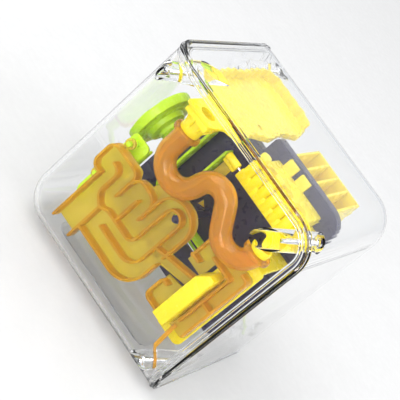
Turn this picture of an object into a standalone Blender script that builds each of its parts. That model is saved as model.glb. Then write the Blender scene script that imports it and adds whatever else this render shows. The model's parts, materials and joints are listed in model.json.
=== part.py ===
"""Cube maze game: two clear corner shells, six long screws and the coloured track pieces they clamp.

Metres, +Z up, origin at the middle of the bottom face. The front face looks along -Y.
The shells part along a zigzag seam round the body diagonal, and the six screw posts follow that diagonal.
"""

import math

import bmesh
import bpy
from mathutils import Matrix, Vector

MM = 0.001

# Case. DRAWN is a drawn millimetre: places are drawn for a 190 mm case and follow its side.
SIDE = 190 * MM
HALF = SIDE / 2
DRAWN = SIDE / 190
WALL = 3.0 * MM
EDGE_RADIUS = 28.5 * MM
BEAD_RADIUS = 1.6 * MM
BEAD_PROUD = 0.8 * MM
SEAM_GAP = 0.3 * MM
PAD_SIDE = 120 * MM
PAD_CORNER = 12 * MM
FIT = 0.3 * MM

# Screw posts, measured along the body diagonal
POST_INSET = 18.0 * MM
FACE_BOSS_DIAMETER = 17.0 * MM
EDGE_BOSS_DIAMETER = 15.0 * MM
SCREW_DIAMETER = 3.0 * MM
SCREW_HEAD_DIAMETER = 6.4 * MM
SCREW_HEAD_HEIGHT = 2.4 * MM
SCREW_GRIP = 6.0 * MM
SCREW_BITE = 12.0 * MM
EYE_THICKNESS = 2.4 * MM
EYE_DIAMETER = 13.0 * MM
ARM_WIDTH = 6.0 * MM

# Track sections
PLATE = 2.4 * MM
RAIL = 2.2 * MM
RAIL_HEIGHT = 9.0 * MM
BALL_DIAMETER = 11.0 * MM
TUBE_DIAMETER = 17.5 * MM
TUBE_WALL = 2.0 * MM
FLANGE_DIAMETER = 24.0 * MM
FLANGE_THICKNESS = 3.6 * MM

# Depths and levels of the track planes
FRONT_PLANE = -61.0 * DRAWN
TUBE_STANDOFF = 3.2 * MM
TUBE_PLANE = -(HALF - BEAD_PROUD - WALL - TUBE_STANDOFF - FLANGE_DIAMETER / 2)
CORE_PLANE = -8.0 * DRAWN
CORE_THICKNESS = 10.0 * MM
REAR_PLANE = 58.0 * DRAWN
DECK_LEVEL = SIDE - 19.5 * MM
DECK_WALL = 8.0 * MM

# Coloured pieces
STEPS_FOOT = DECK_LEVEL - 22.5 * MM
STEPS_FRONT = -50.0 * DRAWN
POCKET_RADIUS = 7.0 * MM
BINS_FLOOR = DECK_LEVEL - 18.5 * MM
BINS_HEIGHT = 20.0 * MM
CHUTE_PLANE = -52.0 * DRAWN
GREEN_RAIL = 12.0 * MM
BOWL_RADIUS = 28.5 * DRAWN
BOWL_NECK = 9.0 * MM
BOWL_DEPTH = 18.0 * DRAWN
BOWL_TIER = 16.0 * DRAWN
BOWL_RIM = -84.5 * DRAWN
TRAY_LEVEL = 30.0 * DRAWN
TRAY_PLACE = 74
TRAY_REACH = 52

# Gate
PIN_DIAMETER = 2.0 * MM
GATE_WIDTH = 9.0 * MM
GATE_DROP = 17.0 * MM
GATE_LEFT = -7.5
GATE_RISE = 4.5 * MM

# Layout points, drawn in millimetres for a 190 mm case and scaled to the case by layout()
PEGS = [(-67, 97.5), (-68.5, 59)]
CORE_PEG = (1.5, 93.5)
BAR_LEFT = 47.6
BAR_WIDTH = 13
TUBE_INLET = (-39.2, 150)
TUBE_OUTLET = (63.2, 140)
TUBE_TURNS = [(-21.4, 132.8, 17.8, 1), (10.8, 130.4, 14.2, -1), (45.9, 136.8, 17.3, 1)]
BOWL_PLACE = (-13, 110)

# Pegs and the bar that stands through the side track
PEG_RADIUS = 2.2 * MM
EAR_RADIUS = 4.6 * MM
BAR_HEIGHT = 18 * MM

DIAGONAL = Vector((1, 1, 1)).normalized()
CENTRE = Vector((0, 0, HALF))
ARC_STEP = math.radians(22.5)


def clear_scene():
    for item in list(bpy.data.objects):
        bpy.data.objects.remove(item)


def make_collection(name):
    collection = bpy.data.collections.new(name)
    bpy.context.scene.collection.children.link(collection)
    return collection


def make_material(name, colour, roughness, metallic=0.0, alpha=1.0):
    material = bpy.data.materials.new(name)
    material.use_nodes = True
    shader = material.node_tree.nodes["Principled BSDF"]
    shader.inputs["Base Color"].default_value = (*colour, 1.0)
    shader.inputs["Roughness"].default_value = roughness
    shader.inputs["Metallic"].default_value = metallic
    shader.inputs["Alpha"].default_value = alpha
    material.diffuse_color = (*colour, alpha)
    return material


clear_scene()
PARTS = make_collection("cube_maze_game")
CLEAR = make_material("clear_plastic", (0.93, 0.94, 0.95), 0.05, alpha=0.25)
AMBER = make_material("amber_plastic", (0.95, 0.50, 0.05), 0.12, alpha=0.7)
YELLOW = make_material("yellow_plastic", (0.98, 0.85, 0.04), 0.30)
GREEN = make_material("green_plastic", (0.55, 0.80, 0.03), 0.30)
PURPLE = make_material("purple_plastic", (0.04, 0.03, 0.08), 0.35)
STEEL = make_material("steel", (0.65, 0.66, 0.68), 0.25, metallic=1.0)


# ---------------------------------------------------------------- mesh helpers

def add_object(name, mesh, material=None):
    item = bpy.data.objects.new(name, mesh)
    if material:
        mesh.materials.clear()
        mesh.materials.append(material)
    PARTS.objects.link(item)
    return item


def add_bmesh(name, mesh_data, material=None):
    mesh = bpy.data.meshes.new(name)
    mesh_data.to_mesh(mesh)
    mesh_data.free()
    return add_object(name, mesh, material)


def applied(item):
    """The object's evaluated mesh takes the place of the object and its modifiers, in world coordinates."""
    bpy.context.view_layer.update()
    evaluated = item.evaluated_get(bpy.context.evaluated_depsgraph_get())
    mesh = bpy.data.meshes.new_from_object(evaluated)
    mesh.transform(item.matrix_world)
    welded = bmesh.new()
    welded.from_mesh(mesh)
    bmesh.ops.remove_doubles(welded, verts=welded.verts, dist=0.00001)
    welded.to_mesh(mesh)
    welded.free()
    name = item.name
    bpy.data.objects.remove(item)
    return add_object(name, mesh)


def combine(target, tools, operation):
    """The exact union, difference or intersection of the target with every tool, which are used up."""
    group = make_collection("tools")
    for tool in tools:
        PARTS.objects.unlink(tool)
        group.objects.link(tool)
    modifier = target.modifiers.new("combine", "BOOLEAN")
    modifier.operation = operation
    modifier.solver = "EXACT"
    modifier.operand_type = "COLLECTION"
    modifier.collection = group
    result = applied(target)
    for tool in tools:
        bpy.data.objects.remove(tool)
    bpy.data.collections.remove(group)
    return result


def finish(item, name, material, smooth=30):
    item.name = name
    item.data.name = name
    item.data.materials.clear()
    item.data.materials.append(material)
    item.data.shade_smooth()
    item.data.set_sharp_from_angle(angle=math.radians(smooth))
    return item


def block(low, high):
    """A box between two corners."""
    low = Vector(low)
    high = Vector(high)
    cube = bmesh.new()
    bmesh.ops.create_cube(cube, size=1.0)
    size = high - low
    bmesh.ops.transform(cube, matrix=Matrix.Diagonal((*size, 1.0)), verts=cube.verts)
    bmesh.ops.translate(cube, vec=(low + high) / 2, verts=cube.verts)
    return add_bmesh("block", cube)


def rod(start, end, radius, end_radius=None, segments=20):
    """A round bar or cone between two points."""
    start = Vector(start)
    end = Vector(end)
    axis = end - start
    turn = axis.to_track_quat("Z", "Y").to_matrix().to_4x4()
    cone = bmesh.new()
    bmesh.ops.create_cone(cone, cap_ends=True, segments=segments, radius1=radius,
                          radius2=radius if end_radius is None else end_radius, depth=axis.length)
    bmesh.ops.transform(cone, matrix=Matrix.Translation((start + end) / 2) @ turn, verts=cone.verts)
    return add_bmesh("rod", cone)


def beam(start, end, width, height, up=(0, 0, 1)):
    """A square bar from one point to another, its height as near to the up direction as it goes."""
    start = Vector(start)
    end = Vector(end)
    along = (end - start).normalized()
    across = Vector(up).cross(along).normalized()
    turn = Matrix((along, across, along.cross(across))).transposed().to_4x4()
    cube = bmesh.new()
    bmesh.ops.create_cube(cube, size=1.0)
    size = ((end - start).length, width, height, 1.0)
    bmesh.ops.transform(cube, matrix=Matrix.Diagonal(size), verts=cube.verts)
    bmesh.ops.transform(cube, matrix=Matrix.Translation((start + end) / 2) @ turn, verts=cube.verts)
    return add_bmesh("beam", cube)


def turned(profile, matrix, steps=24):
    """A closed (radius, height) profile turned about the local Z axis of the matrix."""
    line = bmesh.new()
    points = [line.verts.new((radius, 0, height)) for radius, height in profile]
    for first, second in zip(points, points[1:] + points[:1]):
        line.edges.new((first, second))
    item = add_bmesh("turned", line)
    screw = item.modifiers.new("turn", "SCREW")
    screw.steps = steps
    screw.render_steps = steps
    screw.use_merge_vertices = True
    screw.merge_threshold = 0.00001
    screw.use_normal_calculate = True
    item.matrix_world = matrix
    item = applied(item)
    outward = bmesh.new()
    outward.from_mesh(item.data)
    bmesh.ops.recalc_face_normals(outward, faces=outward.faces)
    outward.to_mesh(item.data)
    outward.free()
    return item


# ---------------------------------------------------------------- flat layouts

def layout(points):
    """Drawn millimetres, with the fillet radius last, to metres in a case of this size."""
    return [tuple(value * DRAWN for value in point) for point in points]


def rounded(corners, closed):
    """The corners (u, v, fillet radius) as a run of points with round stretches."""
    points = []
    count = len(corners)
    for index, corner in enumerate(corners):
        here = Vector(corner[:2])
        radius = corner[2] if len(corner) > 2 else 0.0
        at_end = not closed and index in (0, count - 1)
        if at_end or radius <= 0:
            points.append(here)
            continue
        before = (Vector(corners[index - 1][:2]) - here).normalized()
        after = (Vector(corners[(index + 1) % count][:2]) - here).normalized()
        half_angle = before.angle(after) / 2
        reach = radius / math.tan(half_angle)
        middle = here + (before + after).normalized() * (radius / math.sin(half_angle))
        first = here + before * reach - middle
        last = here + after * reach - middle
        sweep = first.angle_signed(last)
        steps = max(2, round(abs(sweep) / ARC_STEP))
        for step in range(steps + 1):
            turn = Matrix.Rotation(-sweep * step / steps, 2)
            points.append(middle + turn @ first)
    return points


def front(depth):
    """Local x to the right, y up and z towards the front."""
    return Matrix.Translation((0, depth, 0)) @ Matrix.Rotation(math.pi / 2, 4, "X")


def rear(depth):
    """The same as front, seen from behind."""
    return front(depth) @ Matrix.Rotation(math.pi, 4, "Y")


def level(height):
    return Matrix.Translation((0, 0, height))


def plate(plane, corners, low, high):
    """A flat outline, filled from local z low to high."""
    curve = bpy.data.curves.new("plate", "CURVE")
    curve.dimensions = "2D"
    curve.fill_mode = "BOTH"
    curve.extrude = (high - low) / 2
    points = rounded(corners, closed=True)
    spline = curve.splines.new("POLY")
    spline.points.add(len(points) - 1)
    for target, point in zip(spline.points, points):
        target.co = (point.x, point.y, 0, 1)
    spline.use_cyclic_u = True
    item = bpy.data.objects.new("plate", curve)
    PARTS.objects.link(item)
    item.matrix_world = plane @ Matrix.Translation((0, 0, (low + high) / 2))
    return applied(item)


def rail(plane, corners, low, high, thickness=None):
    """An upright strip along an open run of corners."""
    points = rounded(corners, closed=False)
    strip = bmesh.new()
    lower = [strip.verts.new((point.x, point.y, low)) for point in points]
    upper = [strip.verts.new((point.x, point.y, high)) for point in points]
    for index in range(len(points) - 1):
        strip.faces.new((lower[index], lower[index + 1], upper[index + 1], upper[index]))
    item = add_bmesh("rail", strip)
    solid = item.modifiers.new("thickness", "SOLIDIFY")
    solid.thickness = thickness or RAIL
    solid.offset = 0.0
    solid.use_even_offset = True
    item.matrix_world = plane
    return applied(item)


def on_plane(plane, u, v, height=0.0):
    """The place of a layout point, drawn in millimetres, at a height above a plane."""
    return plane @ Vector((u * DRAWN, v * DRAWN, height))


def drill(plane, u, v, radius, low, high, segments=20):
    """A round bar standing on a layout point, drawn in millimetres."""
    return rod(on_plane(plane, u, v, low), on_plane(plane, u, v, high), radius, segments=segments)


def track(plane, outline, rails, extra=(), holes=()):
    """A plate whose face lies in the plane, with rails standing on it."""
    body = plate(plane, layout(outline), -PLATE, 0)
    walls = [rail(plane, layout(run), -PLATE / 2, RAIL_HEIGHT) for run in rails]
    body = combine(body, walls + list(extra), "UNION")
    if holes:
        body = combine(body, list(holes), "DIFFERENCE")
    return body


# ---------------------------------------------------------------- case

# Seam corners: the sign of x, y and z. Those with one minus take their screw from the rear shell.
SEAM_CORNERS = {
    "right_top_front": (1, -1, 1),
    "left_top_front": (-1, -1, 1),
    "right_bottom_front": (1, -1, -1),
    "left_top_rear": (-1, 1, 1),
    "left_bottom_rear": (-1, 1, -1),
    "right_bottom_rear": (1, 1, -1),
}
REAR_DRIVEN = [name for name, signs in SEAM_CORNERS.items() if sum(signs) > 0]


def post_middle(name):
    """The middle of a screw post, where the track pieces' eyes are clamped."""
    signs = Vector(SEAM_CORNERS[name])
    return CENTRE + signs * (HALF - POST_INSET)


def body_box(inset):
    """The case body without its beads: every face stands back, so that the beads are proud."""
    reach = HALF - BEAD_PROUD - inset
    offset = Vector((reach, reach, reach))
    return CENTRE - offset, CENTRE + offset


def rounded_body(inset):
    """The closed body with its six plain edges rounded and its six seam edges sharp."""
    low, high = body_box(inset)
    size = high - low
    cube = bmesh.new()
    bmesh.ops.create_cube(cube, size=1.0)
    bmesh.ops.transform(cube, matrix=Matrix.Diagonal((*size, 1.0)), verts=cube.verts)
    plain = []
    for edge in cube.edges:
        signs = [sum(face.normal[axis] for face in edge.link_faces) for axis in range(3)]
        if abs(sum(signs)) > 1.5:
            plain.append(edge)
    bmesh.ops.bevel(cube, geom=plain, offset=EDGE_RADIUS - inset, segments=5, profile=0.5, affect="EDGES")
    bmesh.ops.translate(cube, vec=(low + high) / 2, verts=cube.verts)
    cube.normal_update()
    return cube


def shell_skin(inset, side, flip):
    """The faces of the rounded body that belong to one shell: side -1 is front, left and bottom."""
    skin = rounded_body(inset)
    others = [face for face in skin.faces if sum(face.normal) * side < 0]
    bmesh.ops.delete(skin, geom=others, context="FACES")
    if flip:
        bmesh.ops.reverse_faces(skin, faces=skin.faces)
    mesh = bpy.data.meshes.new("skin")
    skin.to_mesh(mesh)
    skin.free()
    return mesh


def shell_wall(side):
    """One shell's wall, mitred along the seam."""
    wall = bmesh.new()
    for inset, flip in ((0.0, False), (WALL, True)):
        mesh = shell_skin(inset, side, flip)
        wall.from_mesh(mesh)
        bpy.data.meshes.remove(mesh)
    rims = [edge for edge in wall.edges if edge.is_boundary]
    bmesh.ops.bridge_loops(wall, edges=rims)
    bmesh.ops.recalc_face_normals(wall, faces=wall.faces)
    half_gap = SEAM_GAP / (2 * math.sqrt(2))
    slack = 1 - half_gap / (HALF - BEAD_PROUD)
    bmesh.ops.translate(wall, vec=-CENTRE, verts=wall.verts)
    bmesh.ops.scale(wall, vec=(slack, slack, slack), verts=wall.verts)
    bmesh.ops.translate(wall, vec=CENTRE + Vector((side, side, side)) * half_gap, verts=wall.verts)
    return add_bmesh("wall", wall)


def seam_run(side, own, other):
    """Closed path along the seam, own from the shell's three faces and other from the three it meets."""
    near = HALF - own
    far = HALF - other
    turn = HALF - EDGE_RADIUS
    corners = [(1, -1, 1), (1, -1, -1), (1, 1, -1), (-1, 1, -1), (-1, 1, 1), (-1, -1, 1)]
    quarter = 5
    points = []
    for index, corner in enumerate(corners):
        before = Vector(corners[index - 1])
        after = Vector(corners[(index + 1) % 6])
        here = Vector(corner)
        enter = next(axis for axis in range(3) if before[axis] != here[axis])
        leave = next(axis for axis in range(3) if after[axis] != here[axis])
        still = 3 - enter - leave
        radius = EDGE_RADIUS - (other if here[enter] > 0 else own)
        level_at = (near if here[still] < 0 else far) * here[still]
        for step in range(quarter + 1):
            angle = math.pi / 2 * step / quarter
            point = Vector((0, 0, 0))
            point[enter] = here[enter] * (turn + radius * math.sin(angle))
            point[leave] = here[leave] * (turn + radius * math.cos(angle))
            point[still] = level_at
            points.append(point)
    return [CENTRE - point * side for point in points]


def seam_bead(side):
    """The round lip that stands on a shell beside the seam."""
    other = BEAD_RADIUS + (2 * BEAD_RADIUS + SEAM_GAP) / math.sqrt(2)
    curve = bpy.data.curves.new("bead", "CURVE")
    curve.dimensions = "3D"
    curve.bevel_depth = BEAD_RADIUS
    curve.bevel_resolution = 1
    points = seam_run(side, BEAD_RADIUS, other)
    spline = curve.splines.new("POLY")
    spline.points.add(len(points) - 1)
    for target, point in zip(spline.points, points):
        target.co = (*point, 1)
    spline.use_cyclic_u = True
    item = bpy.data.objects.new("bead", curve)
    PARTS.objects.link(item)
    return applied(item)


def boss(name, side):
    """A post's half on one shell, ending inside that shell's wall."""
    middle = post_middle(name)
    driven = (name in REAR_DRIVEN) == (side > 0)
    diameter = EDGE_BOSS_DIAMETER if driven else FACE_BOSS_DIAMETER
    start = middle + DIAGONAL * side * (EYE_THICKNESS / 2 + FIT)
    end = middle + DIAGONAL * side * (4 * POST_INSET)
    post = rod(start, end, diameter / 2)
    core = add_bmesh("core", rounded_body(WALL / 2))
    return combine(post, [core], "INTERSECT")


def screw_bores(name, side):
    """What the screw needs cut from one shell."""
    middle = post_middle(name)
    away = DIAGONAL * side
    driven = (name in REAR_DRIVEN) == (side > 0)
    face = EYE_THICKNESS / 2 + FIT
    if not driven:
        end = middle + away * (face + SCREW_BITE + MM)
        return [rod(middle, end, SCREW_DIAMETER / 2 + FIT / 2, segments=16)]
    seat = face + SCREW_GRIP
    shank = rod(middle, middle + away * (seat + MM), SCREW_DIAMETER / 2 + FIT, segments=16)
    head = rod(middle + away * seat, middle + away * (3 * POST_INSET), SCREW_HEAD_DIAMETER / 2 + 2 * FIT)
    return [shank, head]


def rest_pad():
    """The low flat pad under the bottom face, level with the beads, on which the cube stands."""
    reach = PAD_SIDE / 2
    corners = [(u * reach, v * reach, PAD_CORNER) for u, v in ((-1, -1), (1, -1), (1, 1), (-1, 1))]
    return plate(level(0), corners, 0, BEAD_PROUD + WALL / 2)


def make_shell(node, side):
    wall = shell_wall(side)
    added = [boss(name, side) for name in SEAM_CORNERS]
    added.append(seam_bead(side))
    if side < 0:
        added.append(rest_pad())
    body = combine(wall, added, "UNION")
    cuts = []
    for name in SEAM_CORNERS:
        cuts += screw_bores(name, side)
    body = combine(body, cuts, "DIFFERENCE")
    return finish(body, node, CLEAR, smooth=25)


def make_screw(index, name):
    side = 1 if name in REAR_DRIVEN else -1
    away = DIAGONAL * side
    middle = post_middle(name)
    face = EYE_THICKNESS / 2 + FIT
    seat = face + SCREW_GRIP + FIT
    tip = middle - away * (face + SCREW_BITE)
    under = middle + away * seat
    shank = rod(tip, under + away * SCREW_HEAD_HEIGHT / 2, SCREW_DIAMETER / 2, segments=16)
    head = rod(under, under + away * SCREW_HEAD_HEIGHT, SCREW_HEAD_DIAMETER / 2,
               end_radius=SCREW_HEAD_DIAMETER / 2 - 0.8 * MM)
    body = combine(shank, [head], "UNION")
    return finish(body, f"case_screw_{index}", STEEL)


def with_eye(body, name, root):
    """Joins a clamped eye at a screw post to a track piece by an arm that starts at the root point."""
    middle = post_middle(name)
    half = DIAGONAL * EYE_THICKNESS / 2
    eye = rod(middle - half, middle + half, EYE_DIAMETER / 2)
    root = Vector(root)
    flat = root - middle
    flat -= DIAGONAL * flat.dot(DIAGONAL)
    flat.normalize()
    clear = middle + flat * (FACE_BOSS_DIAMETER / 2 + 2.5 * MM)
    slim = EYE_THICKNESS - 0.4 * MM
    inner = beam(middle + flat * (EYE_DIAMETER / 2 - 2 * MM), clear + flat * MM, ARM_WIDTH, slim, DIAGONAL)
    outer = beam(clear, root, ARM_WIDTH - MM, EYE_THICKNESS + MM, DIAGONAL)
    body = combine(body, [eye, inner, outer], "UNION")
    bore = rod(middle - half * 3, middle + half * 3, SCREW_DIAMETER / 2 + FIT, segments=16)
    return combine(body, [bore], "DIFFERENCE")


# ---------------------------------------------------------------- front tracks

def make_front_track():
    """The amber track at the left of the front: chute, U channel, arches and the ramp to the right."""
    outline = [(-66, 13), (-43, 13), (-43, 23.5), (20.6, 23.5, 23), (20.6, 60), (38, 65.5),
               (46.5, 68), (46.5, 80.8), (20.6, 73.5), (20.6, 110.4, 18), (-13.5, 110.4, 12), (-14, 104),
               (-29, 104, 7), (-29, 92.4, 2), (-40.6, 92.4, 9), (-40.6, 88), (-44, 93, 4),
               (-76, 93, 8), (-76, 65, 8), (-66, 65, 2)]
    rails = [
        [(-65, 65), (-65, 11)],
        [(-44, 48), (-44, 11)],
        [(-44, 24.6), (19.5, 24.6, 22), (19.5, 60)],
        [(-32, 40), (9, 40, 13), (9, 101, 7.4), (-6, 101, 7.4), (-6, 53, 6), (-37, 53, 6), (-44, 48.5, 5),
         (-53.5, 56, 9), (-53.5, 81, 7), (-62, 81)],
        [(-68, 91.8), (-41.6, 91.8, 6), (-41.6, 66)],
        [(-40, 84), (-40, 91.4, 7), (-16, 91.4, 10), (-16, 70)],
        [(-27.5, 78), (-27.5, 53)],
        [(-16, 84), (-16, 109.2, 17.5), (19.5, 109.2, 17.5), (19.5, 69)],
        [(-65, 66), (-75, 66, 7), (-75, 91.8, 7), (-66, 91.8)],
        [(9, 69), (46, 80)],
    ]
    plane = front(FRONT_PLANE)
    ears = [drill(plane, u, v, EAR_RADIUS, -PLATE, 0) for u, v in PEGS]
    holes = [drill(plane, *CORE_PEG, 4 * MM, -2 * PLATE, PLATE / 2)]
    holes += [drill(plane, u, v, PEG_RADIUS + FIT, -2 * PLATE, 2 * PLATE) for u, v in PEGS]
    body = track(plane, outline, rails, extra=ears, holes=holes)
    return finish(body, "amber_front_track", AMBER)


def make_side_track():
    """The amber track at the right of the front, with its lug at the lower screw post."""
    outline = [(30.4, 38), (76, 38, 5), (76, 116, 4), (30.4, 116, 4)]
    rails = [
        [(37, 59), (31.5, 59, 2), (31.5, 39.1, 5), (54, 39.1)],
        [(74.9, 45), (74.9, 114.9, 4), (68, 114.9)],
        [(44, 104), (64.5, 104, 2), (64.5, 51)],
        [(64.5, 75), (74.9, 75)],
        [(31.8, 91.2), (31.8, 112)],
        [(31, 92), (39, 92)],
    ]
    plane = front(FRONT_PLANE)
    low = BAR_LEFT - 0.3
    high = BAR_LEFT + BAR_WIDTH + 0.3
    slot = [(low, 40.7), (high, 40.7), (high, 98.3), (low, 98.3)]
    cut = plate(plane, layout(slot), -2 * PLATE, 2 * RAIL_HEIGHT)
    notch = plate(plane, layout([(29, 61), (49, 66), (49, 82.5), (29, 82.5)]), -2 * PLATE, 2 * RAIL_HEIGHT)
    body = track(plane, outline, rails, holes=[cut, notch])
    body = with_eye(body, "right_bottom_front", on_plane(plane, 64, 42, MM))
    return finish(body, "amber_side_track", AMBER)


def make_side_frame():
    """The yellow frame behind the side track, whose thick bar stands through it."""
    plane = front(FRONT_PLANE)
    behind = -PLATE - FIT
    sheet = layout([(50, 29, 3), (77, 29, 6), (77, 124, 3), (50, 124, 3)])
    body = plate(plane, sheet, behind - PLATE, behind)
    low = BAR_LEFT
    high = BAR_LEFT + BAR_WIDTH
    section = layout([(low, 41), (high, 41), (high, 98), (low + 7, 98), (low, 88)])
    bar = plate(plane, section, behind - PLATE / 2, BAR_HEIGHT)
    reach = FRONT_PLANE - CORE_PLANE + FIT
    shelf = plate(plane, layout([(52, 121), (75, 121), (75, 124), (52, 124)]), reach, behind - PLATE / 2)
    body = combine(body, [bar, shelf], "UNION")
    return finish(body, "yellow_side_frame", YELLOW)


# ---------------------------------------------------------------- tube

def tangent_chain(start, circles, end):
    """A smooth run from start to end round circles (u, v, radius, turn), turn +1 for anticlockwise."""
    bends = [(Vector((u, v)), radius * turn) for u, v, radius, turn in circles]
    stops = [(start, 0.0), *bends, (end, 0.0)]
    headings = []
    for (here, bend), (there, next_bend) in zip(stops, stops[1:]):
        gap = there - here
        headings.append(math.atan2(gap.y, gap.x) + math.asin((bend - next_bend) / gap.length))
    points = [start]
    for index in range(1, len(stops) - 1):
        middle, bend = stops[index]
        turn = math.copysign(1, bend)
        sweep = (headings[index] - headings[index - 1]) * turn % (2 * math.pi)
        steps = max(3, round(sweep / ARC_STEP))
        for step in range(steps + 1):
            heading = headings[index - 1] + turn * sweep * step / steps
            points.append(middle + Vector((math.sin(heading), -math.cos(heading))) * bend)
    points.append(end)
    return points


def winding(run, radius, lead):
    """A round solid along a run in the tube plane, its ends carried on straight by the lead."""
    points = [front(TUBE_PLANE) @ Vector((point.x, point.y, 0)) for point in run]
    points[0] += (points[0] - points[1]).normalized() * lead
    points[-1] += (points[-1] - points[-2]).normalized() * lead
    curve = bpy.data.curves.new("winding", "CURVE")
    curve.dimensions = "3D"
    curve.bevel_depth = radius
    curve.bevel_resolution = 2
    curve.use_fill_caps = True
    spline = curve.splines.new("POLY")
    spline.points.add(len(points) - 1)
    for target, point in zip(spline.points, points):
        target.co = (*point, 1)
    item = bpy.data.objects.new("winding", curve)
    PARTS.objects.link(item)
    return applied(item)


def tube_end(drawn):
    return front(TUBE_PLANE) @ Vector((*layout([drawn])[0], 0))


def make_tube():
    """The amber winding tube with a flange at each end."""
    start, end = layout([TUBE_INLET, TUBE_OUTLET])
    circles = [(*layout([item[:3]])[0], item[3]) for item in TUBE_TURNS]
    run = tangent_chain(Vector(start), circles, Vector(end))
    up = Vector((0, 0, FLANGE_THICKNESS))
    flanges = [rod(tube_end(drawn) - up, tube_end(drawn), FLANGE_DIAMETER / 2, segments=28)
               for drawn in (TUBE_INLET, TUBE_OUTLET)]
    body = combine(winding(run, TUBE_DIAMETER / 2, -MM), flanges, "UNION")
    body = combine(body, [winding(run, TUBE_DIAMETER / 2 - TUBE_WALL, 4 * MM)], "DIFFERENCE")
    return finish(body, "amber_s_tube", AMBER, smooth=40)


# ---------------------------------------------------------------- top

def make_inlet_cup():
    """The yellow socket that drops the ball from the deck into the tube."""
    foot = tube_end(TUBE_INLET) + Vector((0, 0, FIT))
    head = Vector((foot.x, foot.y, DECK_LEVEL - PLATE - FIT))
    body = rod(foot, head, TUBE_DIAMETER / 2)
    reach = FLANGE_DIAMETER / 2
    collar = block(head - Vector((reach, reach, 5 * MM)), head + Vector((reach, reach, 0)))
    body = combine(body, [collar], "UNION")
    spare = Vector((0, 0, MM))
    bore = rod(foot - spare, head + spare, TUBE_DIAMETER / 2 - TUBE_WALL)
    return finish(combine(body, [bore], "DIFFERENCE"), "yellow_inlet_cup", YELLOW)


def make_deck():
    """The yellow top deck with its wavy wall, held at the two left upper posts."""
    plane = level(DECK_LEVEL)
    outline = [(-75, -50, 3), (-62, -42, 6), (-54, -60, 6), (-54, -89, 3), (-27, -89, 3), (-24, -66, 6),
               (-12, -58, 6), (-15, -36, 8), (-9, -12, 8), (-13, 14, 8), (-8, 40, 8), (-14, 66, 16),
               (-28, 72, 3), (-66, 72, 3), (-75, 62, 3)]
    walls = [[(-73.5, -48), (-72, -30, 12), (-74, -8, 12), (-72, 14, 12), (-74, 40, 12), (-73.5, 60.5, 4),
              (-65, 70.5, 3), (-28, 70.5, 10), (-16, 64)]]
    inlet = Vector((tube_end(TUBE_INLET).x, TUBE_PLANE, DECK_LEVEL))
    rise = Vector((0, 0, 2 * PLATE))
    holes = [rod(inlet - rise, inlet + rise, TUBE_DIAMETER / 2 - TUBE_WALL),
             drill(plane, -22.6, -11, 2.6 * MM, -2 * PLATE, PLATE)]
    body = plate(plane, layout(outline), -PLATE, 0)
    body = combine(body, [rail(plane, layout(run), -PLATE / 2, DECK_WALL) for run in walls], "UNION")
    body = combine(body, holes, "DIFFERENCE")
    body = with_eye(body, "left_top_front", on_plane(plane, -66, -47, -PLATE / 2))
    body = with_eye(body, "left_top_rear", on_plane(plane, -68, 62, -PLATE / 2))
    return finish(body, "yellow_top_deck", YELLOW)


def make_steps():
    """The yellow block of ball pockets in front of the core wall, with the funnel over the tube's outlet."""
    low = STEPS_FOOT
    back = CORE_PLANE - FIT
    body = block((2 * DRAWN, STEPS_FRONT, low), (70 * DRAWN, back, low + 9 * MM))
    added = [block((6 * DRAWN, STEPS_FRONT + 12 * MM, low + 8 * MM), (62 * DRAWN, back, low + 19 * MM))]
    for left in (12, 27):
        corner = (left * DRAWN, back - 4 * MM, low + 18 * MM)
        added.append(block(corner, ((left + 11) * DRAWN, back, low + 28 * MM)))
    outlet = tube_end(TUBE_OUTLET) + Vector((0, 0, FIT))
    top = outlet + Vector((0, 0, 5.5 * MM))
    added.append(rod(outlet, top, TUBE_DIAMETER / 2 - 0.7 * MM))
    bridge = 4 * MM
    added.append(block((outlet.x - bridge, TUBE_PLANE + 7 * MM, outlet.z + MM),
                       (outlet.x + bridge, STEPS_FRONT + MM, low + 2 * MM)))
    body = combine(body, added, "UNION")
    spare = Vector((0, 0, 3 * MM))
    cuts = [rod(outlet - spare, top + spare, TUBE_DIAMETER / 2 - TUBE_WALL)]
    for place in (17, 34, 51):
        centre = Vector((place * DRAWN, STEPS_FRONT + 14 * MM, low + 5 * MM))
        cuts.append(rod(centre, centre + Vector((0, 0, 30 * MM)), POCKET_RADIUS))
    pin = gate_axis()
    cuts.append(rod(pin, pin + Vector((20 * DRAWN, 0, 0)), PIN_DIAMETER / 2 + FIT / 2, segments=16))
    body = combine(body, cuts, "DIFFERENCE")
    body = with_eye(body, "right_top_front", (66 * DRAWN, STEPS_FRONT + 2 * MM, low + 6 * MM))
    return finish(body, "yellow_steps", YELLOW)


def make_bins():
    """The yellow open boxes behind the core wall."""
    plane = level(BINS_FLOOR)
    near = CORE_PLANE + CORE_THICKNESS + FIT
    outer = [(6 * DRAWN, near), (62 * DRAWN, near), (62 * DRAWN, 63 * DRAWN), (6 * DRAWN, 63 * DRAWN)]
    body = plate(plane, outer, -PLATE, 0)
    inset = RAIL / 2
    left, right, back = 6 * DRAWN + inset, 62 * DRAWN - inset, 63 * DRAWN - inset
    ring = [(left, near), (left, back), (right, back), (right, near)]
    runs = [ring] + [[(u * DRAWN, near), (u * DRAWN, back)] for u in (21, 34, 47)]
    walls = [rail(plane, run, -PLATE / 2, BINS_HEIGHT) for run in runs]
    return finish(combine(body, walls, "UNION"), "yellow_bins", YELLOW)


# ---------------------------------------------------------------- gate

def gate_axis():
    return Vector((GATE_LEFT * DRAWN, STEPS_FRONT + 4 * MM, STEPS_FOOT + GATE_RISE))


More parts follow.
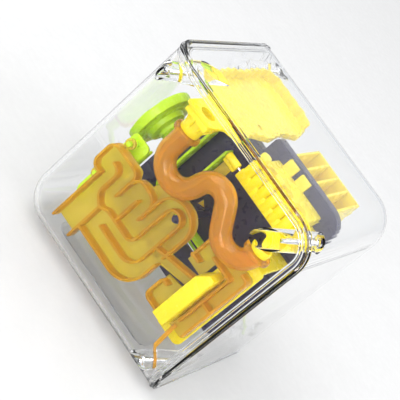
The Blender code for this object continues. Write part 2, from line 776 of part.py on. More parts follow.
def make_gate():
    """The small swinging gate: a yellow barrel on a steel pin, and the amber flap below it."""
    axis = gate_axis()
    half = Vector((GATE_WIDTH / 2 + 2 * MM, 0, 0))
    barrel = rod(axis - half, axis + half, 3.4 * MM)
    inner = half - Vector((0.3 * MM, 0, 0))
    foot = block(axis - inner - Vector((0, 1.6 * MM, 5.5 * MM)), axis + inner + Vector((0, 1.6 * MM, -MM)))
    body = combine(barrel, [foot], "UNION")
    spare = Vector((3 * MM, 0, 0))
    bore = rod(axis - half - spare, axis + half + spare, PIN_DIAMETER / 2 + FIT, segments=16)
    finish(combine(body, [bore], "DIFFERENCE"), "gate_barrel", YELLOW)
    top = axis.z - 5.5 * MM - FIT
    low = (axis.x - GATE_WIDTH / 2, axis.y - MM, top - GATE_DROP)
    finish(block(low, (axis.x + GATE_WIDTH / 2, axis.y + MM, top)), "gate_flap", AMBER)
    end = Vector((6 * DRAWN, axis.y, axis.z))
    pin = rod(axis - half - Vector((MM, 0, 0)), end, PIN_DIAMETER / 2, segments=16)
    finish(pin, "gate_pin", STEEL)


# ---------------------------------------------------------------- green pieces

def make_bowl():
    """The green dish that opens to the left: a wide rim, a lower tier and a neck in the middle."""
    outer = [(BOWL_RADIUS, 0.0), (BOWL_RADIUS - MM, 0.45 * BOWL_DEPTH), (BOWL_TIER + MM, 0.5 * BOWL_DEPTH),
             (BOWL_TIER, 0.75 * BOWL_DEPTH), (BOWL_NECK, 0.8 * BOWL_DEPTH), (BOWL_NECK, BOWL_DEPTH)]
    inner = [(radius - PLATE, depth - PLATE) for radius, depth in outer]
    inner[0] = (BOWL_RADIUS - PLATE, 0.0)
    inner[-1] = (BOWL_NECK - PLATE, BOWL_DEPTH)
    v, w = (value * DRAWN for value in BOWL_PLACE)
    matrix = Matrix.Translation((BOWL_RIM, v, w)) @ Matrix.Rotation(math.pi / 2, 4, "Y")
    return finish(turned(outer + inner[::-1], matrix), "green_bowl", GREEN)


def make_chute():
    """The green channel behind the amber chute, whose two pegs hold the front track by its ears."""
    plane = front(CHUTE_PLANE)
    body = plate(plane, layout([(-74, 104, 4), (-55, 104, 4), (-55, 28, 9), (-74, 28, 9)]), -PLATE, 0)
    runs = [[(-73, 40), (-73, 100)], [(-56, 40), (-56, 100)]]
    added = [rail(plane, layout(run), -RAIL_HEIGHT, -PLATE / 2) for run in runs]
    reach = CHUTE_PLANE - FRONT_PLANE
    for u, v in PEGS:
        added.append(drill(plane, u, v, PEG_RADIUS + MM, -PLATE / 2, reach - PLATE - FIT))
        added.append(drill(plane, u, v, PEG_RADIUS, -PLATE / 2, reach + 3 * MM))
    return finish(combine(body, added, "UNION"), "green_chute", GREEN)


def make_rail_frame():
    """The green rails that stand on the front of the core wall."""
    plane = front(CORE_PLANE - FIT)
    body = rail(plane, layout([(-43, 141), (-43, 75, 8), (34, 75)]), 0, GREEN_RAIL)
    upright = rail(plane, layout([(-23, 141), (-23, 75)]), 0, GREEN_RAIL)
    return finish(combine(body, [upright], "UNION"), "green_rail_frame", GREEN)


# ---------------------------------------------------------------- core and rear

def make_core_wall():
    """The dark wall in the middle that the coloured pieces stand against."""
    plane = front(CORE_PLANE)
    edge = [(-64, 30, 6), (78, 30, 6), (78, 177, 16), (-8, 177, 4), (-8, 160, 3), (-64, 160, 6)]
    body = plate(plane, layout(edge), -PLATE, 0)
    rim = [(-20, 31.3), (76.7, 31.3, 4.7), (76.7, 175.7, 14.7), (-6.7, 175.7, 2.7),
           (-6.7, 158.7, 4.3), (-62.7, 158.7, 4.7), (-62.7, 31.3, 4.7), (-22, 31.3)]
    added = [rail(plane, layout(rim), -CORE_THICKNESS, -PLATE / 2)]
    added.append(drill(plane, *CORE_PEG, 3.2 * MM, -PLATE / 2, CORE_PLANE - FRONT_PLANE + 2 * MM))
    body = combine(body, added, "UNION")
    window = plate(plane, layout([(-10, 90), (-3, 93), (-9, 97)]), -2 * PLATE, PLATE)
    slot = plate(plane, layout([(6, 62), (18, 62), (18, 66.5), (6, 66.5)]), -2 * PLATE, PLATE)
    return finish(combine(body, [window, slot], "DIFFERENCE"), "purple_core_wall", PURPLE)


def make_fin(node, place):
    """A dark upright plate between the core wall and the rear track."""
    near = CORE_PLANE + CORE_THICKNESS + FIT
    far = REAR_PLANE - PLATE - FIT
    low, high = 40 * DRAWN, 128 * DRAWN
    middle = place * DRAWN
    inset = 12 * DRAWN
    body = block((middle - PLATE / 2, near, low), (middle + PLATE / 2, far, high))
    window = block((middle - PLATE, near + inset, low + inset), (middle + PLATE, far - inset, high - inset))
    return finish(combine(body, [window], "DIFFERENCE"), node, PURPLE)


def make_rear_track():
    """The amber track on the rear, seen from behind the cube."""
    plane = rear(REAR_PLANE)
    outline = [(-62, 44, 10), (68, 44, 10), (68, 132, 10), (-62, 132, 10)]
    rails = [
        [(-60.7, 131), (-60.7, 45.3, 8.7), (66.7, 45.3, 8.7), (66.7, 131)],
        [(-61, 112), (40, 112, 10), (40, 90)],
        [(67, 78), (0, 78, 10), (0, 94)],
        [(-61, 64), (-20, 64, 10), (-20, 94, 10), (-42, 94)],
        [(67, 60), (4, 60)],
    ]
    return finish(track(plane, outline, rails), "amber_rear_track", AMBER)


def make_tray():
    """The green finish tray along the rear, held at the two lower rear posts, where the ball rests."""
    plane = level(TRAY_LEVEL)
    half_width = BALL_DIAMETER / 2 + 1.5 * MM + RAIL / 2
    middle = TRAY_PLACE * DRAWN
    end = TRAY_REACH * DRAWN
    edge = half_width + RAIL / 2
    corners = [(u * end, middle + v * edge, 4 * MM) for u, v in ((-1, -1), (1, -1), (1, 1), (-1, 1))]
    body = plate(plane, corners, -PLATE, 0)
    loop = [(0, -1), (1, -1), (1, 1), (-1, 1), (-1, -1), (-0.02, -1)]
    inset = end - RAIL / 2
    run = [(u * inset, middle + v * half_width, 3 * MM) for u, v in loop]
    body = combine(body, [rail(plane, run, -PLATE / 2, RAIL_HEIGHT)], "UNION")
    body = with_eye(body, "left_bottom_rear", (-end + 3 * MM, middle - 4 * MM, TRAY_LEVEL - PLATE / 2))
    body = with_eye(body, "right_bottom_rear", (end - 3 * MM, middle - 4 * MM, TRAY_LEVEL - PLATE / 2))
    return finish(body, "green_finish_tray", GREEN)


def make_ball():
    ball = bmesh.new()
    bmesh.ops.create_uvsphere(ball, u_segments=16, v_segments=8, radius=BALL_DIAMETER / 2)
    height = TRAY_LEVEL + BALL_DIAMETER / 2 + FIT
    bmesh.ops.translate(ball, vec=(0, TRAY_PLACE * DRAWN, height), verts=ball.verts)
    return finish(add_bmesh("ball", ball), "steel_ball", STEEL, smooth=60)


def main():
    make_shell("case_front_shell", -1)
    make_shell("case_rear_shell", 1)
    for number, corner_name in enumerate(SEAM_CORNERS, start=1):
        make_screw(number, corner_name)
    make_front_track()
    make_side_track()
    make_side_frame()
    make_tube()
    make_inlet_cup()
    make_deck()
    make_steps()
    make_bins()
    make_gate()
    make_bowl()
    make_chute()
    make_rail_frame()
    make_core_wall()
    make_fin("purple_fin_left", -44)
    make_fin("purple_fin_right", 48)
    make_rear_track()
    make_tray()
    make_ball()


if __name__ == "__main__":
    main()
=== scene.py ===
"""Looks of the cube maze game: fine clear shells, tracks with soft edges, and every plastic's material.

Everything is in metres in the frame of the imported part. Places come from the part's own boxes and
record, and the track routes repeat the part's layout, which is drawn in millimetres for a 190 mm case.
"""

import json
import math

import bmesh
import bpy
from mathutils import Matrix, Vector


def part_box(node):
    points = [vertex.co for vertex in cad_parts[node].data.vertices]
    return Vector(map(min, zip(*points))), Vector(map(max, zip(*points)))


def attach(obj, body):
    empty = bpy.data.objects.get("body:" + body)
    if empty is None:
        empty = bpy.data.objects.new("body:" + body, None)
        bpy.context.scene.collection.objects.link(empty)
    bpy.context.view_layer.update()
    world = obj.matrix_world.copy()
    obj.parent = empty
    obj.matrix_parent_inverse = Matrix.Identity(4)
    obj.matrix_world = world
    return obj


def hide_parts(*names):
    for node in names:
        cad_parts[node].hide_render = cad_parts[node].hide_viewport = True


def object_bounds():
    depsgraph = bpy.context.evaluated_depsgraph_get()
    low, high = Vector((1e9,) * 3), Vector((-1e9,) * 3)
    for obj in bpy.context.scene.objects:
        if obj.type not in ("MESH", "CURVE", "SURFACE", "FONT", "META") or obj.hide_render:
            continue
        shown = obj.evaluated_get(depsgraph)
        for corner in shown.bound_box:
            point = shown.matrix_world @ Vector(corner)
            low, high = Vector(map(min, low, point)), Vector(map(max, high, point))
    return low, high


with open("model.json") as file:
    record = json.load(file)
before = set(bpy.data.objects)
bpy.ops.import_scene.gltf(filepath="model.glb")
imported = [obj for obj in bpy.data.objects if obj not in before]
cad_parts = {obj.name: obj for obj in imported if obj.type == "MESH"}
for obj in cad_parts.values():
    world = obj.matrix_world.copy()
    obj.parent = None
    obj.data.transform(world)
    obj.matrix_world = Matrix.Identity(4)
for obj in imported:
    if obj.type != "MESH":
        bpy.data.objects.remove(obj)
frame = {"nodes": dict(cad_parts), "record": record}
CAD_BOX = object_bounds()

MM = 0.001
LOW, HIGH = (Vector(corner) for corner in CAD_BOX)
SIDE = HIGH.z - LOW.z
HALF = SIDE / 2
DRAWN = SIDE / 190
CENTRE = Vector((0, 0, HALF))
DIAGONAL = Vector((1, 1, 1)).normalized()

# The camera: where it looks from, in degrees round the cube, and how far off in cube sides
VIEW_AZIMUTH = 13.31
VIEW_ELEVATION = 24.25
VIEW_ROLL = 49.41
VIEW_DISTANCE = 5.4546
VIEW_RIGHT = -0.0553
VIEW_UP = 0.0375
LENS = 117.0
NEAREST_SEEN = 0.01

# Floor and sky
FLOOR_SIZE = 12.0
FLOOR_GAP = 0.2 * MM
FLOOR_COLOUR = (0.41, 0.41, 0.41)
FLOOR_GLOW = 0.22
SKY_LOW = (0.50, 0.52, 0.55)
SKY_HIGH = (1.0, 1.0, 1.0)
SKY_STRENGTH = 1.35
LIGHT_BOUNCES = 24

# Lights: name, place and size in metres, and power in watts
LIGHTS = [
    ("key", (-1.0, -0.8, 1.5), (1.8, 1.8), 30),
    ("front", (0.5, -2.2, 0.9), (1.8, 1.2), 32),
    ("side", (1.4, 0.2, 1.1), (1.6, 1.6), 12),
]

# Materials: noise in cells a metre, refractive indices, and how far from the plate the amber's painted glow
# sets in
DRIFT_CELLS = 28.0
FINISH_CELLS = 140.0
GRAIN_DEPTH = 0.2 * MM
CLEAR_INDEX = 1.27
AMBER_INDEX = 1.38
AMBER_GLOW_SPAN = 3 * MM
# The amber's pale plate colour, and the deeper orange painted on its rails as a glow of light passing along
# them
AMBER_PLATE_COLOUR = (1.0, 0.80, 0.07)
AMBER_RAIL_GLOW = (1.0, 0.52, 0.0)

# Soft edges and round stretches
SOFT_EDGE = 0.35 * MM
SHARP_TURN = math.radians(40)
ARC_STEP = math.radians(7.5)
WELD = 0.005 * MM

# Case
WALL = 3.0 * MM
EDGE_RADIUS = 28.5 * MM
BEAD_RADIUS = 1.6 * MM
BEAD_PROUD = 0.8 * MM
SEAM_GAP = 0.3 * MM
BEAD_SPACING = BEAD_RADIUS + (2 * BEAD_RADIUS + SEAM_GAP) / math.sqrt(2)
LIP_PLACE = 8.5 * MM
LIP_RADIUS = 1.2 * MM
PAD_SIDE = 120 * MM
PAD_CORNER = 12 * MM
FIT = 0.3 * MM
EDGE_SEGMENTS = 14
POST_INSET = 18.0 * MM
FACE_BOSS_RADIUS = 8.5 * MM
EDGE_BOSS_RADIUS = 7.5 * MM
SCREW_RADIUS = 1.5 * MM
SCREW_HEAD_RADIUS = 3.2 * MM
SCREW_GRIP = 6.0 * MM
SCREW_BITE = 12.0 * MM
SCREW_THREAD = 11.0 * MM
SCREW_PITCH = 1.0 * MM
EYE_THICKNESS = 2.4 * MM
EYE_RADIUS = 6.5 * MM
ARM_WIDTH = 6.0 * MM

# Track sections
FLOOR = 1.8 * MM
PLATE = 2.4 * MM
RAIL = 2.2 * MM
RAIL_HEIGHT = 9.0 * MM
TUBE_DIAMETER = 17.5 * MM
TUBE_WALL = 2.0 * MM
FLANGE_DIAMETER = 24.0 * MM
FLANGE_THICKNESS = 3.6 * MM

# Planes, levels and sizes, most of them taken from the part's boxes
FRONT_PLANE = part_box("amber_front_track")[0].y + RAIL_HEIGHT
REAR_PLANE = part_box("amber_rear_track")[1].y - RAIL_HEIGHT
TUBE_PLANE = (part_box("amber_s_tube")[0].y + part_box("amber_s_tube")[1].y) / 2
CORE_THICKNESS = 10.0 * MM
CORE_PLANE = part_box("purple_core_wall")[1].y - CORE_THICKNESS
DECK_WALL = 8.0 * MM
DECK_LIP = 3.0 * MM
DECK_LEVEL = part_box("yellow_top_deck")[1].z - DECK_WALL
STEPS_FRONT = -50.0 * DRAWN
STEPS_FOOT = DECK_LEVEL - 22.5 * MM
POCKET_RADIUS = 7.0 * MM
PIN_RADIUS = 1.0 * MM
COLUMN_RADIUS = 4.4 * MM
STEP_COLUMNS = [(7, 27), (16.5, 21), (26, 25), (35.5, 18), (45, 22), (54.5, 16)]
BINS_HEIGHT = 20.0 * MM
BINS_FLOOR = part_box("yellow_bins")[1].z - BINS_HEIGHT
CHUTE_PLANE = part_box("green_chute")[1].y - RAIL_HEIGHT
GREEN_RAIL = 12.0 * MM
BOWL_NECK = 9.0 * MM
BOWL_TIER = 16.0 * DRAWN
TRAY_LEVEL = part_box("green_finish_tray")[1].z - RAIL_HEIGHT
TRAY_REACH = 52
CORE_RIB = 1.2 * MM

# Layout points, drawn in millimetres for a 190 mm case
PEGS = [(-67, 97.5), (-68.5, 59)]
PEG_RADIUS = 2.2 * MM
EAR_RADIUS = 4.6 * MM
CORE_PEG = (1.5, 93.5)
CORE_RIBS = [[(-40, 60), (-20, 60, 6), (-20, 40)], [(20, 150), (60, 150)], [(60, 60), (60, 120)]]
BAR_LEFT = 47.6
BAR_WIDTH = 13
BAR_HEIGHT = 18 * MM
TUBE_INLET = (-39.2, 150)
TUBE_OUTLET = (63.2, 140)
TUBE_TURNS = [(-21.4, 132.8, 17.8, 1), (10.8, 130.4, 14.2, -1), (45.9, 136.8, 17.3, 1)]


# ---------------------------------------------------------------- stage

def make_camera():
    """The camera at the viewing angle, rolled so that the cube stands on its edge in the picture."""
    azimuth = math.radians(VIEW_AZIMUTH)
    elevation = math.radians(VIEW_ELEVATION)
    back = Vector((math.sin(azimuth) * math.cos(elevation), -math.cos(azimuth) * math.cos(elevation),
                   math.sin(elevation)))
    level_right = Vector((math.cos(azimuth), math.sin(azimuth), 0))
    turn = Matrix.Rotation(math.radians(VIEW_ROLL), 3, back)
    right = turn @ level_right
    up = back.cross(right)
    place = CENTRE + SIDE * (back * VIEW_DISTANCE + right * VIEW_RIGHT + up * VIEW_UP)
    data = bpy.data.cameras.new("camera")
    data.lens = LENS
    data.clip_start = NEAREST_SEEN
    camera = bpy.data.objects.new("camera", data)
    camera.matrix_world = Matrix.Translation(place) @ Matrix((right, up, back)).transposed().to_4x4()
    bpy.context.scene.collection.objects.link(camera)
    bpy.context.scene.camera = camera


def make_area_light(name, place, size, power):
    """A white rectangular light that faces the middle of the cube."""
    data = bpy.data.lights.new(name, "AREA")
    data.shape = "RECTANGLE"
    data.size, data.size_y = size
    data.energy = power
    light = bpy.data.objects.new(name, data)
    light.location = Vector(place)
    light.rotation_euler = (Vector(place) - CENTRE).to_track_quat("Z", "Y").to_euler()
    bpy.context.scene.collection.objects.link(light)


def make_world():
    """A soft studio sky that is brighter overhead than at the horizon."""
    scene = bpy.context.scene
    scene.view_settings.view_transform = "Standard"
    scene.cycles.max_bounces = LIGHT_BOUNCES
    scene.cycles.transmission_bounces = LIGHT_BOUNCES
    world = bpy.data.worlds.new("studio")
    scene.world = world
    world.use_nodes = True
    nodes = world.node_tree.nodes
    links = world.node_tree.links
    place = nodes.new("ShaderNodeTexCoord")
    split = nodes.new("ShaderNodeSeparateXYZ")
    sky = nodes.new("ShaderNodeValToRGB")
    sky.color_ramp.elements[0].color = (*SKY_LOW, 1)
    sky.color_ramp.elements[1].color = (*SKY_HIGH, 1)
    links.new(place.outputs["Generated"], split.inputs["Vector"])
    links.new(split.outputs["Z"], sky.inputs["Fac"])
    links.new(sky.outputs["Color"], nodes["Background"].inputs["Color"])
    nodes["Background"].inputs["Strength"].default_value = SKY_STRENGTH


def make_floor():
    """A pale floor just below the cube, lit a little from itself."""
    bpy.ops.mesh.primitive_plane_add(size=FLOOR_SIZE, location=(0, 0, LOW.z - FLOOR_GAP))
    floor = bpy.context.object
    floor.name = "floor"
    paper = plastic("floor_paper", FLOOR_COLOUR, 0.65, 0.02, 90, 0.0)
    shader_of(paper).inputs["Emission Color"].default_value = (1, 1, 1, 1)
    shader_of(paper).inputs["Emission Strength"].default_value = FLOOR_GLOW
    floor.data.materials.append(paper)


# ---------------------------------------------------------------- materials

def shader_of(material):
    return next(node for node in material.node_tree.nodes if node.type == "BSDF_PRINCIPLED")


def add_texture(material, scale, detail=4.0):
    """Noise in the object's own space, in cells a metre."""
    nodes = material.node_tree.nodes
    links = material.node_tree.links
    place = nodes.new("ShaderNodeTexCoord")
    noise = nodes.new("ShaderNodeTexNoise")
    noise.inputs["Scale"].default_value = scale
    noise.inputs["Detail"].default_value = detail
    links.new(place.outputs["Object"], noise.inputs["Vector"])
    return noise


def ranged(material, source, low, high):
    """A noise value spread over a range."""
    node = material.node_tree.nodes.new("ShaderNodeMapRange")
    node.inputs["From Min"].default_value = 0.3
    node.inputs["From Max"].default_value = 0.7
    node.inputs["To Min"].default_value = low
    node.inputs["To Max"].default_value = high
    material.node_tree.links.new(source.outputs["Fac"], node.inputs["Value"])
    return node.outputs["Result"]


def plastic(name, colour, roughness, spread, grain, bump, scatter=0.0):
    """Moulded plastic: a colour that drifts a little, a finish that varies, and a fine moulded grain."""
    material = bpy.data.materials.new(name)
    material.use_nodes = True
    shader = shader_of(material)
    links = material.node_tree.links
    drift = add_texture(material, DRIFT_CELLS, 3.0)
    tint = material.node_tree.nodes.new("ShaderNodeValToRGB")
    tint.color_ramp.elements[0].position = 0.3
    tint.color_ramp.elements[1].position = 0.7
    tint.color_ramp.elements[0].color = (*(channel * (1 - spread) for channel in colour), 1)
    tint.color_ramp.elements[1].color = (*(min(1.0, channel * (1 + spread)) for channel in colour), 1)
    links.new(drift.outputs["Fac"], tint.inputs["Fac"])
    links.new(tint.outputs["Color"], shader.inputs["Base Color"])
    finish = add_texture(material, FINISH_CELLS)
    links.new(ranged(material, finish, roughness * 0.8, roughness * 1.25), shader.inputs["Roughness"])
    if bump:
        grain_noise = add_texture(material, grain * 10, 2.0)
        height = material.node_tree.nodes.new("ShaderNodeBump")
        height.inputs["Strength"].default_value = bump
        height.inputs["Distance"].default_value = GRAIN_DEPTH
        links.new(grain_noise.outputs["Fac"], height.inputs["Height"])
        links.new(height.outputs["Normal"], shader.inputs["Normal"])
    if scatter:
        shader.inputs["Subsurface Weight"].default_value = scatter
        shader.inputs["Subsurface Radius"].default_value = (1.0, 0.8, 0.3)
        shader.inputs["Subsurface Scale"].default_value = 0.002
    return material


def clear(name, colour, roughness, index, through, gloss):
    """Clear plastic: light goes through it."""
    material = plastic(name, colour, roughness, 0.004, 6, 0.02)
    shader = shader_of(material)
    shader.inputs["Transmission Weight"].default_value = through
    shader.inputs["IOR"].default_value = index
    shader.inputs["Specular IOR Level"].default_value = gloss
    return material


def amber(name, pale_at, glow_at, through, roughness, gloss):
    """Amber plastic, pale at one place along Y and deeper orange at another: the deeper orange is a painted
    glow, standing in for light passing along the rails.
    """
    material = clear(name, AMBER_RAIL_GLOW, roughness, AMBER_INDEX, through, gloss)
    nodes = material.node_tree.nodes
    links = material.node_tree.links
    place = nodes.new("ShaderNodeTexCoord")
    split = nodes.new("ShaderNodeSeparateXYZ")
    depth = nodes.new("ShaderNodeMapRange")
    depth.inputs["From Min"].default_value = pale_at
    depth.inputs["From Max"].default_value = glow_at
    # Painted glow: the base colour runs from the pale plate colour to the deeper orange painted on the rails
    tint = nodes.new("ShaderNodeValToRGB")
    tint.color_ramp.elements[0].color = (*AMBER_PLATE_COLOUR, 1)
    tint.color_ramp.elements[1].color = (*AMBER_RAIL_GLOW, 1)
    links.new(place.outputs["Object"], split.inputs["Vector"])
    links.new(split.outputs["Y"], depth.inputs["Value"])
    links.new(depth.outputs["Result"], tint.inputs["Fac"])
    links.new(tint.outputs["Color"], shader_of(material).inputs["Base Color"])
    return material


def metal(name, colour, roughness):
    material = plastic(name, colour, roughness, 0.03, 60, 0.02)
    shader_of(material).inputs["Metallic"].default_value = 1.0
    return material


# The amber material paints a glow on the rails: a deeper orange a few millimetres off the plate
MATERIALS = {
    "clear_plastic": clear("case_clear", (0.985, 0.988, 0.99), 0.02, CLEAR_INDEX, 1.0, 0.4),
    "amber_plastic": amber("amber", FRONT_PLANE, FRONT_PLANE - AMBER_GLOW_SPAN, 0.62, 0.12, 0.3),
    "yellow_plastic": plastic("yellow", (1.0, 0.80, 0.004), 0.25, 0.02, 30, 0.05, 0.15),
    "green_plastic": plastic("green", (0.56, 0.86, 0.002), 0.26, 0.03, 30, 0.05, 0.10),
    "purple_plastic": plastic("purple", (0.014, 0.008, 0.055), 0.30, 0.05, 40, 0.04),
    "steel": metal("steel", (0.70, 0.71, 0.73), 0.16),
}
# Rear and tube amber: the same painted glow, set from the rear plane and from the front plane
AMBER_REAR = amber("amber_rear", REAR_PLANE, REAR_PLANE + AMBER_GLOW_SPAN, 0.62, 0.12, 0.3)
AMBER_TUBE = amber("amber_tube", FRONT_PLANE, FRONT_PLANE - AMBER_GLOW_SPAN, 0.72, 0.06, 0.6)


def paint(item, material):
    item.data.materials.clear()
    item.data.materials.append(material)


def paint_cad_nodes():
    for entry in frame["record"]["subparts"]:
        paint(frame["nodes"][entry["node"]], MATERIALS[entry["material_slot"]])


# ---------------------------------------------------------------- mesh helpers

def add_object(name, mesh):
    item = bpy.data.objects.new(name, mesh)
    bpy.context.scene.collection.objects.link(item)
    return item


def add_bmesh(name, data):
    mesh = bpy.data.meshes.new(name)
    data.to_mesh(mesh)
    data.free()
    return add_object(name, mesh)


def applied(item):
    """The object's evaluated mesh, welded, in place of the object and its modifiers."""
    bpy.context.view_layer.update()
    evaluated = item.evaluated_get(bpy.context.evaluated_depsgraph_get())
    mesh = bpy.data.meshes.new_from_object(evaluated)
    mesh.transform(item.matrix_world)
    welded = bmesh.new()
    welded.from_mesh(mesh)
    bmesh.ops.remove_doubles(welded, verts=welded.verts, dist=WELD)
    welded.to_mesh(mesh)
    welded.free()
    name = item.name
    bpy.data.objects.remove(item)
    return add_object(name, mesh)


def combine(target, tools, operation):
    """The exact union, difference or intersection of the target with every tool, which are used up."""
    group = bpy.data.collections.new("tools")
    for tool in tools:
        bpy.context.scene.collection.objects.unlink(tool)
        group.objects.link(tool)
    modifier = target.modifiers.new("combine", "BOOLEAN")
    modifier.operation = operation
    modifier.solver = "EXACT"
    modifier.operand_type = "COLLECTION"
    modifier.collection = group
    result = applied(target)
    for tool in tools:
        bpy.data.objects.remove(tool)
    bpy.data.collections.remove(group)
    return result


def show(item, name, slot, *nodes, body="root", smooth=32, material=None):
    """The item becomes a finished piece that stands for the CAD nodes."""
    item.name = name
    item.data.name = name
    paint(item, material or MATERIALS[slot])
    item.data.shade_smooth()
    item.data.set_sharp_from_angle(angle=math.radians(smooth))
    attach(item, body)
    if nodes:
        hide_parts(*nodes)
    return item


def soften(data, width, segments=2):
    """Rounds every edge that turns sharply."""
    sharp = [edge for edge in data.edges if edge.is_manifold and edge.calc_face_angle() > SHARP_TURN]
    bmesh.ops.bevel(data, geom=sharp, offset=width, segments=segments, profile=0.5, affect="EDGES",
                    clamp_overlap=False)


def block(low, high, soft=SOFT_EDGE):
    """A box between two corners, with softened edges."""
    low = Vector(low)
    high = Vector(high)
    cube = bmesh.new()
    bmesh.ops.create_cube(cube, size=1.0)
    bmesh.ops.scale(cube, vec=high - low, verts=cube.verts)
    bmesh.ops.translate(cube, vec=(low + high) / 2, verts=cube.verts)
    soften(cube, soft)
    return add_bmesh("block", cube)


def rod(start, end, radius, end_radius=None, segments=48, soft=0.0):
    """A round bar or cone between two points."""
    start = Vector(start)
    end = Vector(end)
    axis = end - start
    turn = axis.to_track_quat("Z", "Y").to_matrix().to_4x4()
    cone = bmesh.new()
    bmesh.ops.create_cone(cone, cap_ends=True, segments=segments, radius1=radius,
                          radius2=radius if end_radius is None else end_radius, depth=axis.length)
    if soft:
        soften(cone, soft)
    bmesh.ops.transform(cone, matrix=Matrix.Translation((start + end) / 2) @ turn, verts=cone.verts)
    return add_bmesh("rod", cone)


def beam(start, end, width, height, up=(0, 0, 1), soft=SOFT_EDGE):
    """A square bar from one point to another, its height as near to the up direction as it goes."""
    start = Vector(start)
    end = Vector(end)
    along = (end - start).normalized()
    across = Vector(up).cross(along).normalized()
    turn = Matrix((along, across, along.cross(across))).transposed().to_4x4()
    cube = bmesh.new()
    bmesh.ops.create_cube(cube, size=1.0)
    bmesh.ops.scale(cube, vec=((end - start).length, width, height), verts=cube.verts)
    soften(cube, soft)
    bmesh.ops.transform(cube, matrix=Matrix.Translation((start + end) / 2) @ turn, verts=cube.verts)
    return add_bmesh("beam", cube)


def turned(profile, matrix, steps=96, closed=True):
    """A (radius, height) profile turned about the local Z axis of the matrix."""
    line = bmesh.new()
    points = [line.verts.new((radius, 0, height)) for radius, height in profile]
    for first, second in zip(points, points[1:]):
        line.edges.new((first, second))
    if closed:
        line.edges.new((points[-1], points[0]))
    item = add_bmesh("turned", line)
    screw = item.modifiers.new("turn", "SCREW")
    screw.steps = steps
    screw.render_steps = steps
    screw.use_merge_vertices = True
    screw.merge_threshold = 2 * WELD
    item.matrix_world = matrix
    item = applied(item)
    outward = bmesh.new()
    outward.from_mesh(item.data)
    bmesh.ops.recalc_face_normals(outward, faces=outward.faces)
    outward.to_mesh(item.data)
    outward.free()
    return item


def swept(points, radius, closed=False, roundness=7):
    """A round bar along a run of points."""
    curve = bpy.data.curves.new("swept", "CURVE")
    curve.dimensions = "3D"
    curve.bevel_depth = radius
    curve.bevel_resolution = roundness
    curve.use_fill_caps = not closed
    spline = curve.splines.new("POLY")
    spline.points.add(len(points) - 1)
    for target, point in zip(spline.points, points):
        target.co = (*point, 1)
    spline.use_cyclic_u = closed
    return applied(add_object("swept", curve))


# ---------------------------------------------------------------- flat layouts

def layout(points):
    """Drawn millimetres, with the fillet radius last, to metres in a case of this size."""
    return [tuple(value * DRAWN for value in point) for point in points]


def rounded(corners, closed):
    """The corners (u, v, fillet radius) as a run of points with round stretches."""
    points = []
    for index, corner in enumerate(corners):
        here = Vector(corner[:2])
        radius = corner[2] if len(corner) > 2 else 0.0
        at_end = not closed and index in (0, len(corners) - 1)
        if at_end or radius <= 0:
            points.append(here)
            continue
        before = (Vector(corners[index - 1][:2]) - here).normalized()
        after = (Vector(corners[(index + 1) % len(corners)][:2]) - here).normalized()
        half_angle = before.angle(after) / 2
        middle = here + (before + after).normalized() * (radius / math.sin(half_angle))
        first = here + before * (radius / math.tan(half_angle)) - middle
        last = here + after * (radius / math.tan(half_angle)) - middle
        sweep = first.angle_signed(last)
        steps = max(2, round(abs(sweep) / ARC_STEP))
        points += [middle + Matrix.Rotation(-sweep * step / steps, 2) @ first for step in range(steps + 1)]
    return points


def front(depth):
    """Local x to the right, y up and z towards the front."""
    return Matrix.Translation((0, depth, 0)) @ Matrix.Rotation(math.pi / 2, 4, "X")


def rear(depth):
    """The same as front, seen from behind."""
    return front(depth) @ Matrix.Rotation(math.pi, 4, "Y")


def level(height):
    return Matrix.Translation((0, 0, height))


def prism(plane, outline, low, high, soft=SOFT_EDGE):
    """A closed run of points, filled from local z low to high, with softened edges."""
    shape = bmesh.new()
    face = shape.faces.new([shape.verts.new((point.x, point.y, low)) for point in outline])
    grown = bmesh.ops.extrude_face_region(shape, geom=[face])["geom"]
    raised = [part for part in grown if isinstance(part, bmesh.types.BMVert)]
    bmesh.ops.translate(shape, vec=(0, 0, high - low), verts=raised)
    bmesh.ops.recalc_face_normals(shape, faces=shape.faces)
    if soft:
        soften(shape, soft)
    shape.transform(plane)
    return add_bmesh("prism", shape)


def plate(plane, corners, low, high, soft=SOFT_EDGE):
    return prism(plane, rounded(corners, closed=True), low, high, soft)


def strip_outline(points, width):
    """The closed outline of a strip along the points, with round ends."""
    normals = []
    for first, second in zip(points, points[1:]):
        along = (second - first).normalized()
        normals.append(Vector((-along.y, along.x)))
    sides = {1: [], -1: []}
    for index, point in enumerate(points):
        before = normals[max(0, index - 1)]
        after = normals[min(len(normals) - 1, index)]
        middle = (before + after).normalized()
        for sign, side in sides.items():
            side.append(point + middle * (sign * width / 2 / max(0.4, middle.dot(before))))

    def cap(centre, start):
        return [centre + Matrix.Rotation(-math.pi * step / 6, 2) @ (start - centre) for step in range(1, 6)]

    return (sides[1] + cap(points[-1], sides[1][-1]) + sides[-1][::-1] + cap(points[0], sides[-1][0]))


def strip(plane, corners, low, high, width=None, soft=SOFT_EDGE):
    """An upright strip along an open run of corners."""
    points = rounded(corners, closed=False)
    return prism(plane, strip_outline(points, width or RAIL), low, high, soft)


def on_plane(plane, u, v, height=0.0):
    """The place of a layout point at a height above a plane."""
    return plane @ Vector((u * DRAWN, v * DRAWN, height))


def drill(plane, u, v, radius, low, high):
    return rod(on_plane(plane, u, v, low), on_plane(plane, u, v, high), radius)


def track(plane, outline, rails, extra=(), holes=()):
    """A thin plate whose face lies in the plane, with rails standing on it."""
    body = plate(plane, layout(outline), -FLOOR, 0)
    walls = [strip(plane, layout(run), -FLOOR / 2, RAIL_HEIGHT) for run in rails]
    body = combine(body, walls + list(extra), "UNION")
    if holes:
        body = combine(body, list(holes), "DIFFERENCE")
    return body


# ---------------------------------------------------------------- case

